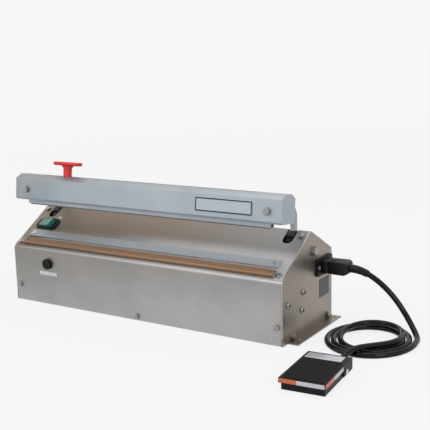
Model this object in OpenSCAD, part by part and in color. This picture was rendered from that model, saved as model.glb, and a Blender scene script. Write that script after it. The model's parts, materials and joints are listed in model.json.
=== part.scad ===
// Counter-top impulse sealer: a motor closes the upper jaw on a heated seal bar, a sliding cutter in
// the jaw trims the film, and a foot pedal on a lead starts the cycle. The jaw is drawn open.
// Millimetres. The origin is the middle of the casing's underside, +X right, +Y back, +Z up.
// On the deck, s runs up the slope from the front edge and n stands square to it.
// In the jaw, u runs back from the bar's front face and w stands up from its underside.

/* [Casing] */
// Distance from each end of the seal cover to the casing's side
end_room = 17; // [16.5:0.1:24]
// Depth from the front panel to the back panel
casing_d = 158; // [154:1:170]
// Height of the front panel
front_h = 91; // [86:1:96]
// Depth from the front panel to the ridge
ridge_d = 88; // [85:1:92]
// Height of the ridge
ridge_h = 146; // [142:1:150]
// Height of the back panel
rear_h = 107; // [102:1:112]
// Thickness of the cover sheets
sheet_t = 1.5; // [1:0.1:1.8]
// Thickness of the end plates
plate_t = 2; // [1.5:0.1:2.5]
// Thickness of the base plate
base_t = 2; // [1.5:0.1:3]
// Outer radius of the sheet bends
bend_r = 5; // [2.5:0.5:6]
// Height of the base plate's upturned edges
edge_h = 12; // [10:1:16]
// Length of the lip that the deck sheet folds down behind the ridge
lip_l = 10; // [9:0.5:14]
// Gap between neighbouring sheets
seam = 0.3; // [0.2:0.05:0.5]
// Width of the bench flanges
flange_w = 16; // [14:1:20]
// Distance from the casing's front to the start of the bench flanges
flange_front = 15; // [10:1:20]
// Radius of the bench holes
bench_hole_r = 2.75; // [2:0.05:3.5]
// Places of the bench holes along the flanges
bench_hole_y = [-43, 70];

/* [Seal deck] */
// Place of the seal's middle up the deck
seal_s = 13; // [12.5:0.1:15]
// Width of the seal cover
seal_w = 13; // [12:0.1:14]
// Height of the seal cover above the deck
seal_h = 4.5; // [4:0.1:5.5]
// Length of the seal cover
seal_l = 466; // [400:1:520]
// Thickness of the seal cover's cloth
cloth_t = 0.6; // [0.3:0.05:0.8]
// Gap between the deck and the lower edge of the seal cover
cloth_lift = 0.5; // [0.3:0.1:2]
// Width of the heating band
band_w = 3; // [2:0.5:5]
// Thickness of the heating band
band_t = 0.3; // [0.1:0.05:0.4]
// Width of the knife groove behind the seal
groove_w = 4.8; // [3.5:0.1:5.5]
// Width of the magnet pole strip
pole_w = 14; // [12:0.5:16]
// Thickness of the pole strip
pole_t = 3.5; // [3:0.1:4]
// Distance of the pole strip's ends in from the casing's sides
pole_inset = 16; // [14:0.5:24]
// Distance of each magnet from the middle
magnet_x = 110; // [90:1:130]
// Radius of the magnet coils
coil_r = 25; // [20:1:28]

/* [Jaw] */
// How far the jaw stands open
open_a = 38.8; // [36:0.1:40]
// Distance of the jaw's pivot behind the ridge
pivot_back = 8.5; // [7:0.5:9.5]
// Distance of the jaw's pivot below the ridge
pivot_drop = 31.5; // [31:0.5:34]
// Distance of the jaw bar's ends in from the casing's sides
bar_inset = 4; // [0:0.5:8]
// Depth of the jaw bar
bar_d = 38; // [37:0.5:42]
// Height of the jaw bar
bar_h = 41; // [40:0.5:46]
// Wall of the jaw bar
bar_wall = 2.5; // [2:0.1:3]
// Depth of the bar's upper chamfers
chamfer_d = 11; // [9:0.5:11]
// Height of the bar's upper chamfers
chamfer_h = 6.5; // [5:0.5:7]
// Thickness of the end caps
cap_t = 2; // [1.5:0.5:4]
// Distance of the pressure strip ahead of the bar's middle
strip_ahead = 5.5; // [5:0.1:6.5]
// Width of the pressure strip's holder
strip_w = 10; // [8:0.5:11]
// Drop of the pressure strip below the bar
strip_drop = 7.5; // [6.5:0.1:9]
// Distance of the pressure strip's ends in from the casing's sides
strip_inset = 25; // [20:0.5:45]
// Space left between the closed jaw and the deck's strips
jaw_gap = 0.3; // [0.2:0.05:0.5]
// Distance of the arms and their slots in from the casing's sides
arm_inset = 27; // [25:0.5:32]
// Thickness of the arms
arm_t = 6; // [5:0.5:8]
// Depth of the arms
arm_d = 10; // [8:0.5:11]
// Radius of the arms' bend along its middle
arm_r = 15; // [12:0.5:18]
// Height of the arms' bolts above the bar's underside
arm_w = 17; // [16:0.5:18]
// Width of the arm slots
slot_w = 16; // [13:0.5:17]
// Where the arm slots start up the deck
slot_s = 74; // [72:0.5:75]
// Radius of the cross shaft
shaft_r = 7; // [6:0.5:8]

/* [Cutter] */
// Place of the cutter along the bar
cutter_x = -152; // [-170:1:-120]
// Travel of the cutter knob when pressed
press = 5; // [3:0.5:5]
// Width of the knob's head
knob_w = 52; // [50:1:70]
// Depth of the knob's head
knob_d = 13; // [10:0.5:16]
// Thickness of the knob's head
knob_t = 5.6; // [5:0.2:8]
// Height of the knob's top above the bar's underside
knob_top = 64.2; // [62:0.2:69]
// Width of the knob's stem
stem_w = 13; // [12:0.5:20]
// Depth of the knob's stem
stem_d = 8; // [7:0.5:9]
// Distance of the ends of the cutter's slot in from the casing's sides
track_inset = 48.5; // [45:0.5:50]

/* [Drive] */
// Place of the gear motor's output back from the middle
crank_y = -38; // [-40:0.5:-36]
// Height of the gear motor's output
crank_z = 53; // [51:0.5:55]
// Length of the crank and of the arm's tail
crank_l = 30; // [26:0.5:32]
// Direction of the crank at rest, from straight back
crank_a = -58.8; // [-62:0.1:-56]
// Radius of the link pins
link_r = 4; // [3:0.1:4.5]
// Radius of the gearbox
gear_r = 29; // [28:0.5:30]
// Depth of the gearbox
gear_t = 19; // [17:0.5:19]

/* [Controls] */
// Distance of the power switch in from the casing's left side
switch_in = 34; // [31:0.5:40]
// Place of the power switch up the deck
switch_s = 56.5; // [55:0.5:57]
// Width of the switch bezel
bezel_w = 42; // [38:0.5:44]
// Depth of the switch bezel
bezel_d = 25; // [24.5:0.5:27]
// Width of the rocker
rocker_w = 23; // [20:0.5:24]
// Depth of the rocker
rocker_d = 17; // [14:0.5:17]
// Swing of the rocker between off and on
rock_a = 14; // [10:1:16]
// Distance of the timer knob in from the casing's left side
timer_in = 73; // [50:1:100]
// Height of the timer knob
timer_z = 68; // [50:1:72]
// Radius of the timer knob
timer_r = 8.5; // [8:0.5:13]

/* [Lead and inlet] */
// Place of the inlet back from the middle
inlet_y = 49; // [47:0.5:50]
// Height of the inlet
inlet_z = 87; // [84:0.5:88]
// Width of the inlet flange
inlet_w = 50; // [48:0.5:52]
// Height of the inlet flange
inlet_h = 26; // [24:0.5:28]
// Diameter of the lead
cord_d = 8.2; // [6:0.1:8.4]
// Loops of the lead's coil
loops = 3; // [3:1:3]
// Spacing of the coil's loops
loop_pitch = 9; // [8.6:0.1:10]
// Radius of the coil's first loop across the casing's depth
coil_ry = 68; // [60:1:72]
// Radius of the coil's first loop along the casing's width
coil_rx = 62; // [55:1:66]

/* [Pedal] */
// Width of the pedal's tread
tread_w = 60; // [56:0.5:66]
// Length of the pedal's tread
tread_l = 98.4; // [94:0.2:106]
// Height of the pedal's tread above the floor
tread_h = 16.4; // [15.6:0.1:18]
// Wall of the tread's skirt
skirt_t = 1.6; // [1.2:0.1:2]
// Height of the tread's skirt
skirt_h = 6.6; // [5:0.1:7]
// Thickness of the pedal's mat
mat_t = 0.8; // [0.5:0.1:1.5]
// Radius of the pedal's hinge pin
pin_r = 2.25; // [1.8:0.05:2.5]

/* [Hidden] */
$fn = 48;

// Clearances: a running fit, a loose fit between bodies, a bolt's hole, and an overlap that fuses shapes
run_fit = 0.06;
loose = 0.4;
hole_fit = 0.25;
fuse = 0.5;

// Casing outline and frames
casing_w = seal_l + 2 * end_room;
side_x = casing_w / 2;
front_y = -casing_d / 2;
rear_y = casing_d / 2;
ridge_y = front_y + ridge_d;
deck_a = atan2(ridge_h - front_h, ridge_d);
deck_l = norm([ridge_d, ridge_h - front_h]);
rear_a = atan2(ridge_h - rear_h, rear_y - ridge_y);
rear_dir = [cos(rear_a), -sin(rear_a)];
rear_in = [-sin(rear_a), -cos(rear_a)];
plate_in = side_x - plate_t;
cover_w = casing_w - 2 * plate_t - 2 * seam;
cover_z = 0.5;
front_top = [front_y, front_h];
ridge = [ridge_y, ridge_h];
rear_top = [rear_y, rear_h];

// Seal: terminals at its ends, and the pole strip behind it
terminal_l = 5;
terminal_w = 10;
terminal_lap = 2;
terminal_gap = 0.38;
clamp_r = 1.2;
clamp_h = 1.6;
pole_l = casing_w - 2 * pole_inset;
pole_screw_x = pole_l / 2 - 8.5;
pole_screw_r = 2;
core_r = 13;
core_l = 40;

// Casing bolts: M5 hexagon heads on tabs of the end plates and on the base plate's edges
bolt_r = 2.5;
bolt_af = 8;
bolt_head = 3.5;
bolt_l = 7;
bolt_corner = bolt_af / 2 / cos(30);
bolt_gap = 0.2;
tab_l = 14;
tab_w = 14;
tab_t = 2;
cover_bolt_x = seal_l / 2 + terminal_l - terminal_lap + terminal_gap + bolt_corner;
cover_bolt_z = 27;
edge_bolt_z = base_t + bolt_corner + bolt_gap;
deck_bolt_s = [11.5, deck_l - 12.8];
rear_bolt_s = 45;
side_bolt_y = [-49, 64.4];
pivot_bolt_r = 4;
pivot_bolt_af = 13;
pivot_bolt_head = 5.5;

// Jaw frame
arm_x = side_x - arm_inset;
bar_l = casing_w - 2 * bar_inset;
strip_l = casing_w - 2 * strip_inset;
track_l = casing_w - 2 * track_inset;
pivot_y = ridge_y + pivot_back;
pivot_z = ridge_h - pivot_drop;
tilt = open_a - deck_a;
strip_u = bar_d / 2 - strip_ahead;
bar_s = seal_s - strip_u;
bar_n = seal_h + jaw_gap + strip_drop;
groove_s = seal_s + seal_w / 2;
pole_s = groove_s + groove_w;
blade_u = groove_s + groove_w / 2 - bar_s;
blade_t = 1;
slit_w = 3.3;
armature_u = pole_s - bar_s + 0.2;
armature_w = 11.5;
armature_l = casing_w - 80;
armature_drop = bar_n - pole_t - 0.5;
track_w = stem_d + 2;
rail_w = 23;
rail_t = 2;
rail_d = 6.5;
bar_half = bar_l / 2 - cap_t;
cap_plug = 5;
corner = 3;
hub_r = 11;
sleeve_r = 9;
pad_t = 5;
pad_w = 24;
jaw_bolt_r = 3;
jaw_bolt_af = 10;
jaw_bolt_head = 4.2;
guard_r = 29.2;
guard_crown_r = 33;
guard_crown_a = 134;
guard_t = 2.8;
guard_w = slot_w - 2.6;
guard_web = 3;
guard_a = [112, 158];
arm_in = arm_x - arm_t / 2;
arm_out = arm_x + arm_t / 2;
name_plate_in = 50;
name_plate_size = [93.5, 0.8, 20];
name_plate_w = 9;

// Cutter
stem_u = bar_d / 2;
knob_fillet = 5;
carriage_l = 36;
carriage_d = 28;
carriage_top = 34;
carriage_floor = 18;
boss_d = 14;
pin_top = 32;
plunger_r = 3;
foot_w = [12, 17];
blade_w = 14;
blade_tip = 2 - bar_n + press;
blade_top = foot_w[1] - fuse;
spring_wire = 1;
spring_turns = 4;

// Drive
rod_t = 6.5;
rod_gap = 1.5;
crank_t = 7;
crank_in = arm_in - 1;
rod_out = crank_in - rod_gap;
rod_in = rod_out - rod_t;
eye_r = 8.5;
rod_w = 10;
crank_shaft_r = 5;
crank_shaft_in = 8;
gear_in = plate_in - gear_t;
motor_r = 18;
motor_y = [8, 72];
motor_z = 30;
neck_r = 12;
motor_bolt_r = 24.2;
motor_bolt_a = [22.5, 176, -41.5];
motor_screw_r = 3;
motor_screw_l = 12;
motor_head_r = 4.7;
motor_head_t = 1;
motor_dome = [1.7, 1.6];
motor_socket = [2.7, 1.9];

// Controls
switch_x = side_x - switch_in;
timer_x = side_x - timer_in;
bezel_t = 2.4;
bezel_cut = 5;
switch_body = [30, 22, 16];
rocker_gap = [1.5, 0.5];
rocker_n = -4;
rocker_top = 7.5;
trunnion_r = 2;
trunnion_l = 1.2;
pot_r = 11;
pot_t = 12;
bush_r = 4;
shaft_end_r = 3;
nut_af = 10;
nut_t = 1.5;
bush_out = 2;
timer_h = 5;
timer_lift = 0.5;
timer_bevel = 1;
timer_hollow = [6.4, 2.6];
timer_line = [1.2, 0.7];

// Inlet and plug
inlet_t = 3.5;
inlet_body = [22, 28, 20];
socket = [16, 23, 15.5];
socket_fit = 0.3;
inlet_screw_y = 20;
plug_l = 42;
plug_end = side_x + plug_l;
plug_collar = 9;
boot_r = [6, 4.9];
rating_at = [52.8, 53.25];
rating_size = [31.6, 27.5, 0.5];
mains_x = 60 - side_x;
mains_z = 30;
mains_r = 8;
mains_l = 12;
mains_bore_r = 4.2;

// Pedal: place on the floor, turn, base and hinge
pedal_at = [side_x + 89.5, -159.8];
pedal_turn = 4.8;
base_wall = 2.5;
base_h = 9.4;
base_front = 4.2;
pin_y = 24.5;
pin_z = 6.4;
plate_under = tread_h - 3;
switch_low = [-18, -14];
switch_high = [2, -4];
plunger_low = [-12, -11];
plunger_high = [-9, -7];
plunger_room = 2.2;
pedal_spring_y = -28;
pedal_spring_r = 4;
pedal_spring_wire = 0.9;
pedal_spring_turns = 4;
heel_y = 17;
heel_z = 1.5;
mat_rear = 26;
mat_rim = 3;
mat_r = 5;
pin_head_t = 1.4;
pin_head_r = pin_r + 1.4;
gland_x = 11;
gland_z = 6.2;
gland_r = 5.3;
gland_l = 6;
gland_in = 3;

// Lead: route points from the plug down to the floor and from the coil to the pedal, from the casing's side
cord_r = cord_d / 2;
layer_step = cord_d + 0.6;
coil_at = [side_x + 95, -2];
coil_start = 10;
turn_back = 2.5;
drop_shape = [
    [42, 49, 87], [49, 49, 87], [60, 49, 85.4], [71, 49.4, 81.4], [82, 50.2, 75], [93, 51.4, 66.6],
    [103.6, 52.8, 56.4], [113.4, 54, 44.8], [122.4, 54, 32.8], [131, 51.6, 22], [139, 46.4, 13.4],
    [145.6, 39.8, 8.2], [150.6, 32.4, 5]
];
drop_shift = [0, inlet_y, inlet_z] - [0, drop_shape[0][1], drop_shape[0][2]];
drop_points = [
    for (i = [0:len(drop_shape) - 1])
        drop_shape[i] + [side_x, 0, 0] + drop_shift * (1 - i / (len(drop_shape) - 1))
];
boot_points = 3;
tail_shape = [
    [140.2, -12, 12.9], [137.6, -22.4, 13.3], [131.6, -33, 13.3], [122.6, -43.4, 13.3],
    [112.4, -54, 13.3], [104, -65, 13.3], [98.6, -75, 12.6], [95.8, -84.6, 10]
];
tail_points = [for (p = tail_shape) p + [side_x, 0, 0]];

function unit(v) = v / norm(v);
function deck_point(s, n) = front_top + s * [cos(deck_a), sin(deck_a)] + n * [-sin(deck_a), cos(deck_a)];
function turned(p, a) = [p[0] * cos(a) - p[1] * sin(a), p[0] * sin(a) + p[1] * cos(a)];
function jaw_point(u, w) =
    let (pivot = [pivot_y, pivot_z])
    pivot + turned(deck_point(bar_s + u, bar_n + w) - pivot, -open_a);

// Arc round the corner p between a and b, for a bend of outer radius r drawn at a depth inside it
function fillet(a, p, b, r, depth = 0, steps = 6) =
    let (
        d1 = unit(a - p),
        d2 = unit(b - p),
        half = acos(d1 * d2) / 2,
        centre = p + unit(d1 + d2) * r / sin(half),
        from = p + d1 * r / tan(half) - centre,
        to = p + d2 * r / tan(half) - centre,
        a0 = atan2(from[1], from[0]),
        sweep = atan2(from[0] * to[1] - from[1] * to[0], from * to)
    )
    [for (i = [0:steps]) centre + (r - depth) * [cos(a0 + sweep * i / steps), sin(a0 + sweep * i / steps)]];

function reversed(list) = [for (i = [len(list) - 1:-1:0]) list[i]];
function front_path(depth) = concat(
    [[front_y + depth, cover_z]],
    fillet([front_y, cover_z], front_top, ridge, bend_r, depth),
    fillet(front_top, ridge, rear_top, bend_r, depth),
    [ridge + rear_dir * lip_l + rear_in * depth]
);
function rear_path(depth) = concat(
    [ridge + rear_dir * (lip_l + seam) + rear_in * depth],
    fillet(ridge, rear_top, [rear_y, cover_z], bend_r, depth),
    [[rear_y - depth, cover_z]]
);
function outline() = concat(
    [[front_y, 0]],
    fillet([front_y, 0], front_top, ridge, bend_r),
    fillet(front_top, ridge, rear_top, bend_r),
    fillet(ridge, rear_top, [rear_y, 0], bend_r),
    [[rear_y, 0]]
);

// Bar section, at a depth inside its skin
function bar_section(depth) =
    let (
        m = chamfer_h / chamfer_d,
        drop = depth * sqrt(1 + m * m),
        side = bar_h - chamfer_h + m * depth - drop,
        top = (chamfer_h - depth + drop) / m,
        low = depth > 0 ? depth : corner
    )
    [
        [low, depth], [depth, low], [depth, side], [top, bar_h - depth], [bar_d - top, bar_h - depth],
        [bar_d - depth, side], [bar_d - depth, depth]
    ];

// Tube swept along points: the rings stand square to the path
function path_dir(path, i) =
    unit(path[min(i + 1, len(path) - 1)] - path[max(i - 1, 0)]);
function ring(path, i, r, sides) =
    let (
        t = path_dir(path, i),
        across = unit(cross(t, abs(t[2]) > 0.99 ? [1, 0, 0] : [0, 0, 1])),
        up = cross(across, t)
    )
    [for (k = [0:sides - 1]) path[i] + r * (cos(360 * k / sides) * across + sin(360 * k / sides) * up)];

module tube(path, first, last, radii, sides) {
    rings = last - first + 1;
    points = [
        for (i = [first:last])
            each ring(path, i, radii[0] + (radii[1] - radii[0]) * (i - first) / (last - first), sides)
    ];
    walls = [
        for (i = [0:rings - 2], k = [0:sides - 1])
            let (a = i * sides + k, b = i * sides + (k + 1) % sides)
            each [[a, b, b + sides], [a, b + sides, a + sides]]
    ];
    caps = [
        for (k = [1:sides - 2])
            each [
                [0, k + 1, k],
                [(rings - 1) * sides, (rings - 1) * sides + k, (rings - 1) * sides + k + 1]
            ]
    ];
    polyhedron(points, concat(walls, caps));
}

// Coil of the lead: loops spiral in on the floor, climb one layer as they turn back, and spiral out
function climb(t) =
    let (k = min(1, max(0, (t - turn_back + 0.25) / 0.5)))
    k * k * (3 - 2 * k);
function coil_shrink(t) = loop_pitch * (t < turn_back ? t : 2 * turn_back - t);
function coil_point(t) =
    let (a = coil_start - 360 * t)
    [
        coil_at[0] + (coil_rx - coil_shrink(t)) * cos(a),
        coil_at[1] + (coil_ry - coil_shrink(t)) * sin(a),
        cord_r + layer_step * climb(t)
    ];
coil_step = 0.001;
coil_in_dir = unit(coil_point(coil_step) - coil_point(0));
coil_out_dir = unit(coil_point(loops) - coil_point(loops - coil_step));
coil_path = concat(
    [coil_point(0) - coil_in_dir * cord_d],
    [for (i = [0:24 * loops]) coil_point(i / 24)],
    [coil_point(loops) + coil_out_dir * cord_d]
);
function coil_gap(samples) =
    let (p = [for (i = [0:samples * loops]) coil_point(i / samples)])
    min([for (i = [0:len(p) - 1], j = [i + samples / 2:1:len(p) - 1]) norm(p[i] - p[j])]) - cord_d;
drop_path = concat(
    drop_points,
    [coil_point(0) - coil_in_dir * 2 * cord_d, coil_point(0) - coil_in_dir * cord_d]
);
gland_end = [gland_x, tread_l / 2 + loose + gland_l];
gland_dir = [-sin(pedal_turn), cos(pedal_turn), 0];
gland_mouth = [each pedal_at + turned(gland_end, pedal_turn), gland_z];
tail_path = concat(
    [coil_point(loops) + coil_out_dir * cord_d, coil_point(loops) + coil_out_dir * 1.5 * cord_d],
    tail_points,
    [gland_mouth + gland_dir * cord_d, gland_mouth]
);

module on_deck() {
    translate([0, front_y, front_h]) rotate([deck_a, 0, 0]) children();
}
module in_jaw() {
    translate([0, pivot_y, pivot_z]) rotate([-open_a, 0, 0]) translate([0, -pivot_y, -pivot_z])
        on_deck() translate([0, bar_s, bar_n]) children();
}
module on_pedal() {
    translate([each pedal_at, 0]) rotate([0, 0, pedal_turn]) children();
}
// Draws a flat shape, given back and up, and gives it a length along X from a start
module along_x(start, length) {
    translate([start, 0, 0]) rotate([90, 0, 90]) linear_extrude(length) children();
}
module block(low, high) {
    translate(low) cube(high - low);
}
module both_sides() {
    children();
    mirror([1, 0, 0]) children();
}
// Points a shape drawn along +Z along +X, -Y or +Y
module facing_x() {
    rotate([0, 90, 0]) children();
}
module facing_front() {
    rotate([90, 0, 0]) children();
}
module facing_back() {
    rotate([-90, 0, 0]) children();
}
module hex_head(flats, height) {
    cylinder(h = height, r = flats / 2 / cos(30), $fn = 6);
}
module hex_bolt(r, flats, height, length) {
    hex_head(flats, height);
    translate([0, 0, -length]) cylinder(h = length + fuse, r = r);
}
module rounded_plate(size, r, t) {
    linear_extrude(t) {
        square([size[0], size[1] - 2 * r], center = true);
        square([size[0] - 2 * r, size[1]], center = true);
        for (i = [-1, 1], j = [-1, 1]) translate([i * (size[0] / 2 - r), j * (size[1] / 2 - r)]) circle(r);
    }
}

// Places of the cover bolts: each child is drawn with its head up, on the outside of its sheet
module at_cover_bolts() {
    for (x = [-cover_bolt_x, cover_bolt_x]) {
        translate([x, front_y, cover_bolt_z]) facing_front() children();
        translate([x, rear_y, cover_bolt_z]) facing_back() children();
        for (s = deck_bolt_s) on_deck() translate([x, s, 0]) children();
        translate([x, ridge_y, ridge_h]) rotate([-rear_a, 0, 0]) translate([0, rear_bolt_s, 0]) children();
    }
    translate([0, front_y, edge_bolt_z]) facing_front() children();
    translate([0, rear_y, edge_bolt_z]) facing_back() children();
}
module at_side_bolts() {
    both_sides() for (y = side_bolt_y) translate([side_x, y, edge_bolt_z]) facing_x() children();
}
module at_motor_screws() {
    for (a = motor_bolt_a) translate([side_x, crank_y, crank_z] + motor_bolt_r * [0, cos(a), sin(a)])
        facing_x() children();
}
module bolt_holes() {
    at_cover_bolts() translate([0, 0, -2 * bolt_l]) cylinder(h = 3 * bolt_l, r = bolt_r + hole_fit);
}
module arm_slots() {
    both_sides() {
        on_deck() translate([arm_x, slot_s + slot_w / 2, -3 * sheet_t])
            cylinder(h = 6 * sheet_t, r = slot_w / 2);
        on_deck() block(
            [arm_x - slot_w / 2, slot_s + slot_w / 2, -3 * sheet_t],
            [arm_x + slot_w / 2, deck_l, 3 * sheet_t]
        );
        block(
            [arm_x - slot_w / 2, ridge_y - 2, ridge_h - 12],
            [arm_x + slot_w / 2, ridge_y + arm_d / 2 + 1.5, ridge_h + 5]
        );
    }
}

module base_plate() {
    color("silver") difference() {
        union() {
            block([-plate_in, front_y + sheet_t, 0], [plate_in, rear_y - sheet_t, base_t]);
            for (x = [-plate_in, plate_in - base_t])
                block([x, front_y + sheet_t, 0], [x + base_t, rear_y - sheet_t, edge_h]);
            for (y = [front_y + sheet_t, rear_y - sheet_t - base_t])
                block([-plate_in, y, 0], [plate_in, y + base_t, edge_h]);
        }
        bolt_holes();
        at_side_bolts() translate([0, 0, -2 * bolt_l]) cylinder(h = 3 * bolt_l, r = bolt_r + hole_fit);
    }
}

// End plate on the right, with its bench flange and the tabs that the covers are bolted to
module end_plate() {
    difference() {
        union() {
            along_x(plate_in, plate_t) polygon(outline());
            block([plate_in, front_y + flange_front, 0], [side_x + flange_w, rear_y, base_t]);
            for (s = deck_bolt_s) on_deck() block(
                [plate_in - tab_l, s - tab_w / 2, -sheet_t - tab_t],
                [plate_in + fuse, s + tab_w / 2, -sheet_t]
            );
            translate([0, ridge_y, ridge_h]) rotate([-rear_a, 0, 0]) block(
                [plate_in - tab_l, rear_bolt_s - tab_w / 2, -sheet_t - tab_t],
                [plate_in + fuse, rear_bolt_s + tab_w / 2, -sheet_t]
            );
            for (y = [front_y + sheet_t, rear_y - sheet_t - tab_t]) block(
                [plate_in - tab_l, y, cover_bolt_z - tab_w / 2],
                [plate_in + fuse, y + tab_t, cover_bolt_z + tab_w / 2]
            );
        }
        bolt_holes();
        at_side_bolts() translate([0, 0, -2 * bolt_l]) cylinder(h = 3 * bolt_l, r = bolt_r + hole_fit);
        for (y = bench_hole_y) translate([side_x + flange_w / 2 + 1, y, -1])
            cylinder(h = base_t + 2, r = bench_hole_r);
        translate([plate_in - 1, pivot_y, pivot_z]) facing_x()
            cylinder(h = plate_t + 2, r = pivot_bolt_r + hole_fit);
    }
}
module left_end_plate() {
    color("tan") mirror([1, 0, 0]) end_plate();
}
module right_end_plate() {
    color("tan") difference() {
        end_plate();
        at_motor_screws() translate([0, 0, -plate_t - 1])
            cylinder(h = plate_t + 2, r = motor_screw_r + hole_fit);
        block(
            [plate_in - 1, inlet_y - inlet_body[1] / 2 - seam, inlet_z - inlet_body[2] / 2 - seam],
            [side_x + 1, inlet_y + inlet_body[1] / 2 + seam, inlet_z + inlet_body[2] / 2 + seam]
        );
        at_inlet_screws() translate([0, 0, -10]) cylinder(h = 11, r = 1.5 + hole_fit);
    }
}
module front_deck_cover() {
    color("silver") difference() {
        along_x(-cover_w / 2, cover_w) polygon(concat(front_path(0), reversed(front_path(sheet_t))));
        bolt_holes();
        arm_slots();
        on_deck() translate([-switch_x, switch_s, 0]) block(
            [-switch_body[0] / 2 - seam, -switch_body[1] / 2 - seam, -3 * sheet_t],
            [switch_body[0] / 2 + seam, switch_body[1] / 2 + seam, 1]
        );
        translate([-timer_x, front_y + 2 * sheet_t, timer_z]) facing_front()
            cylinder(h = 3 * sheet_t, r = bush_r + hole_fit);
        for (x = [-pole_screw_x, pole_screw_x]) on_deck() translate([x, pole_s + pole_w / 2, -3 * sheet_t])
            cylinder(h = 4 * sheet_t, r = pole_screw_r + hole_fit);
    }
}
module rear_cover() {
    tongue = [bend_r * tan((deck_a + rear_a) / 2) + seam, lip_l + 8];
    color("silver") difference() {
        along_x(-cover_w / 2, cover_w) {
            polygon(concat(rear_path(0), reversed(rear_path(sheet_t))));
            polygon([
                ridge + rear_dir * tongue[0] + rear_in * sheet_t,
                ridge + rear_dir * (lip_l + seam) + rear_in * sheet_t,
                ridge + rear_dir * (lip_l + seam) + rear_in * (sheet_t - fuse),
                ridge + rear_dir * tongue[1] + rear_in * (sheet_t - fuse),
                ridge + rear_dir * tongue[1] + rear_in * 2 * sheet_t,
                ridge + rear_dir * tongue[0] + rear_in * 2 * sheet_t
            ]);
        }
        bolt_holes();
        arm_slots();
        translate([mains_x, rear_y + 1, mains_z]) facing_front()
            cylinder(h = 3 * sheet_t, r = mains_r + hole_fit);
    }
}
module casing_bolts() {
    color("gainsboro") {
        at_cover_bolts() hex_bolt(bolt_r, bolt_af, bolt_head, bolt_l);
        at_side_bolts() hex_bolt(bolt_r, bolt_af, bolt_head, bolt_l);
    }
}

// Seal bar, its heating band under the cloth, and the terminals that tension the band
bar_top_n = seal_h - cloth_t - band_t - 0.1;
module seal_bar() {
    side = seal_w / 2 - cloth_t;
    color("lightgray") on_deck()
        block(
            [terminal_lap - seal_l / 2, seal_s - side, 0],
            [seal_l / 2 - terminal_lap, seal_s + side, bar_top_n]
        );
}
module heating_band() {
    color("darkgray") on_deck() block(
        [terminal_lap - seal_l / 2, seal_s - band_w / 2, bar_top_n],
        [seal_l / 2 - terminal_lap, seal_s + band_w / 2, bar_top_n + band_t]
    );
}
module seal_cover() {
    color("peru") on_deck() difference() {
        block([-seal_l / 2, seal_s - seal_w / 2, cloth_lift], [seal_l / 2, seal_s + seal_w / 2, seal_h]);
        block(
            [-seal_l / 2 - 1, seal_s - seal_w / 2 + cloth_t, 0],
            [seal_l / 2 + 1, seal_s + seal_w / 2 - cloth_t, seal_h - cloth_t]
        );
    }
}
module heater_terminals() {
    color("silver") both_sides() on_deck() {
        start = seal_l / 2 - terminal_lap;
        block(
            [start, seal_s - terminal_w / 2, 0],
            [start + terminal_l, seal_s + terminal_w / 2, bar_top_n]
        );
        translate([seal_l / 2 + (terminal_l - terminal_lap) / 2, seal_s, bar_top_n - fuse])
            cylinder(h = clamp_h, r = clamp_r);
    }
}
module pole_strip() {
    color("lightsteelblue") on_deck() difference() {
        block([-pole_l / 2, pole_s, 0], [pole_l / 2, pole_s + pole_w, pole_t]);
        for (x = [-pole_screw_x, pole_screw_x]) translate([x, pole_s + pole_w / 2, -1])
            cylinder(h = pole_t + 2, r = pole_screw_r + hole_fit);
    }
}
module pole_strip_screws() {
    color("gainsboro") on_deck() for (x = [-pole_screw_x, pole_screw_x])
        translate([x, pole_s + pole_w / 2, pole_t]) {
            translate([0, 0, -pole_t - sheet_t - 4])
                cylinder(h = pole_t + sheet_t + 4 + fuse, r = pole_screw_r);
            difference() {
                cylinder(h = 1, r = 3.6);
                block([-4, -0.5, 0.5], [4, 0.5, 2]);
            }
        }
}
module at_magnets() {
    for (x = [-magnet_x, magnet_x]) on_deck() translate([x, pole_s + pole_w / 2, -sheet_t]) children();
}
module magnet_cores() {
    color("dimgray") at_magnets() {
        translate([0, 0, -core_l]) cylinder(h = core_l, r = core_r);
        translate([0, 0, -core_l]) cylinder(h = 3, r = coil_r);
    }
}
module magnet_coils() {
    color("saddlebrown") at_magnets() translate([0, 0, 3 - core_l]) difference() {
        cylinder(h = core_l - 6, r = coil_r);
        translate([0, 0, -1]) cylinder(h = core_l, r = core_r + loose);
    }
}

// Power switch: bezel on the deck, body through it, rocker on two trunnions
module at_switch() {
    on_deck() translate([-switch_x, switch_s, 0]) children();
}
module switch_housing() {
    opening = [rocker_w / 2 + rocker_gap[0], rocker_d / 2 + rocker_gap[1]];
    w = bezel_w / 2;
    d = bezel_d / 2;
    color("black") at_switch() difference() {
        union() {
            linear_extrude(bezel_t) polygon([
                [-w, bezel_cut - d], [bezel_cut - w, -d], [w - bezel_cut, -d], [w, bezel_cut - d],
                [w, d - bezel_cut], [w - bezel_cut, d], [bezel_cut - w, d], [-w, d - bezel_cut]
            ]);
            block(
                [-switch_body[0] / 2, -switch_body[1] / 2, -switch_body[2]],
                [switch_body[0] / 2, switch_body[1] / 2, fuse]
            );
        }
        block([-opening[0], -opening[1], -12], [opening[0], opening[1], bezel_t + 1]);
        translate([0, 0, rocker_n]) facing_back() translate([0, 0, -opening[1] - trunnion_l - seam])
            cylinder(h = 2 * (opening[1] + trunnion_l + seam), r = trunnion_r + run_fit);
    }
}
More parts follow.
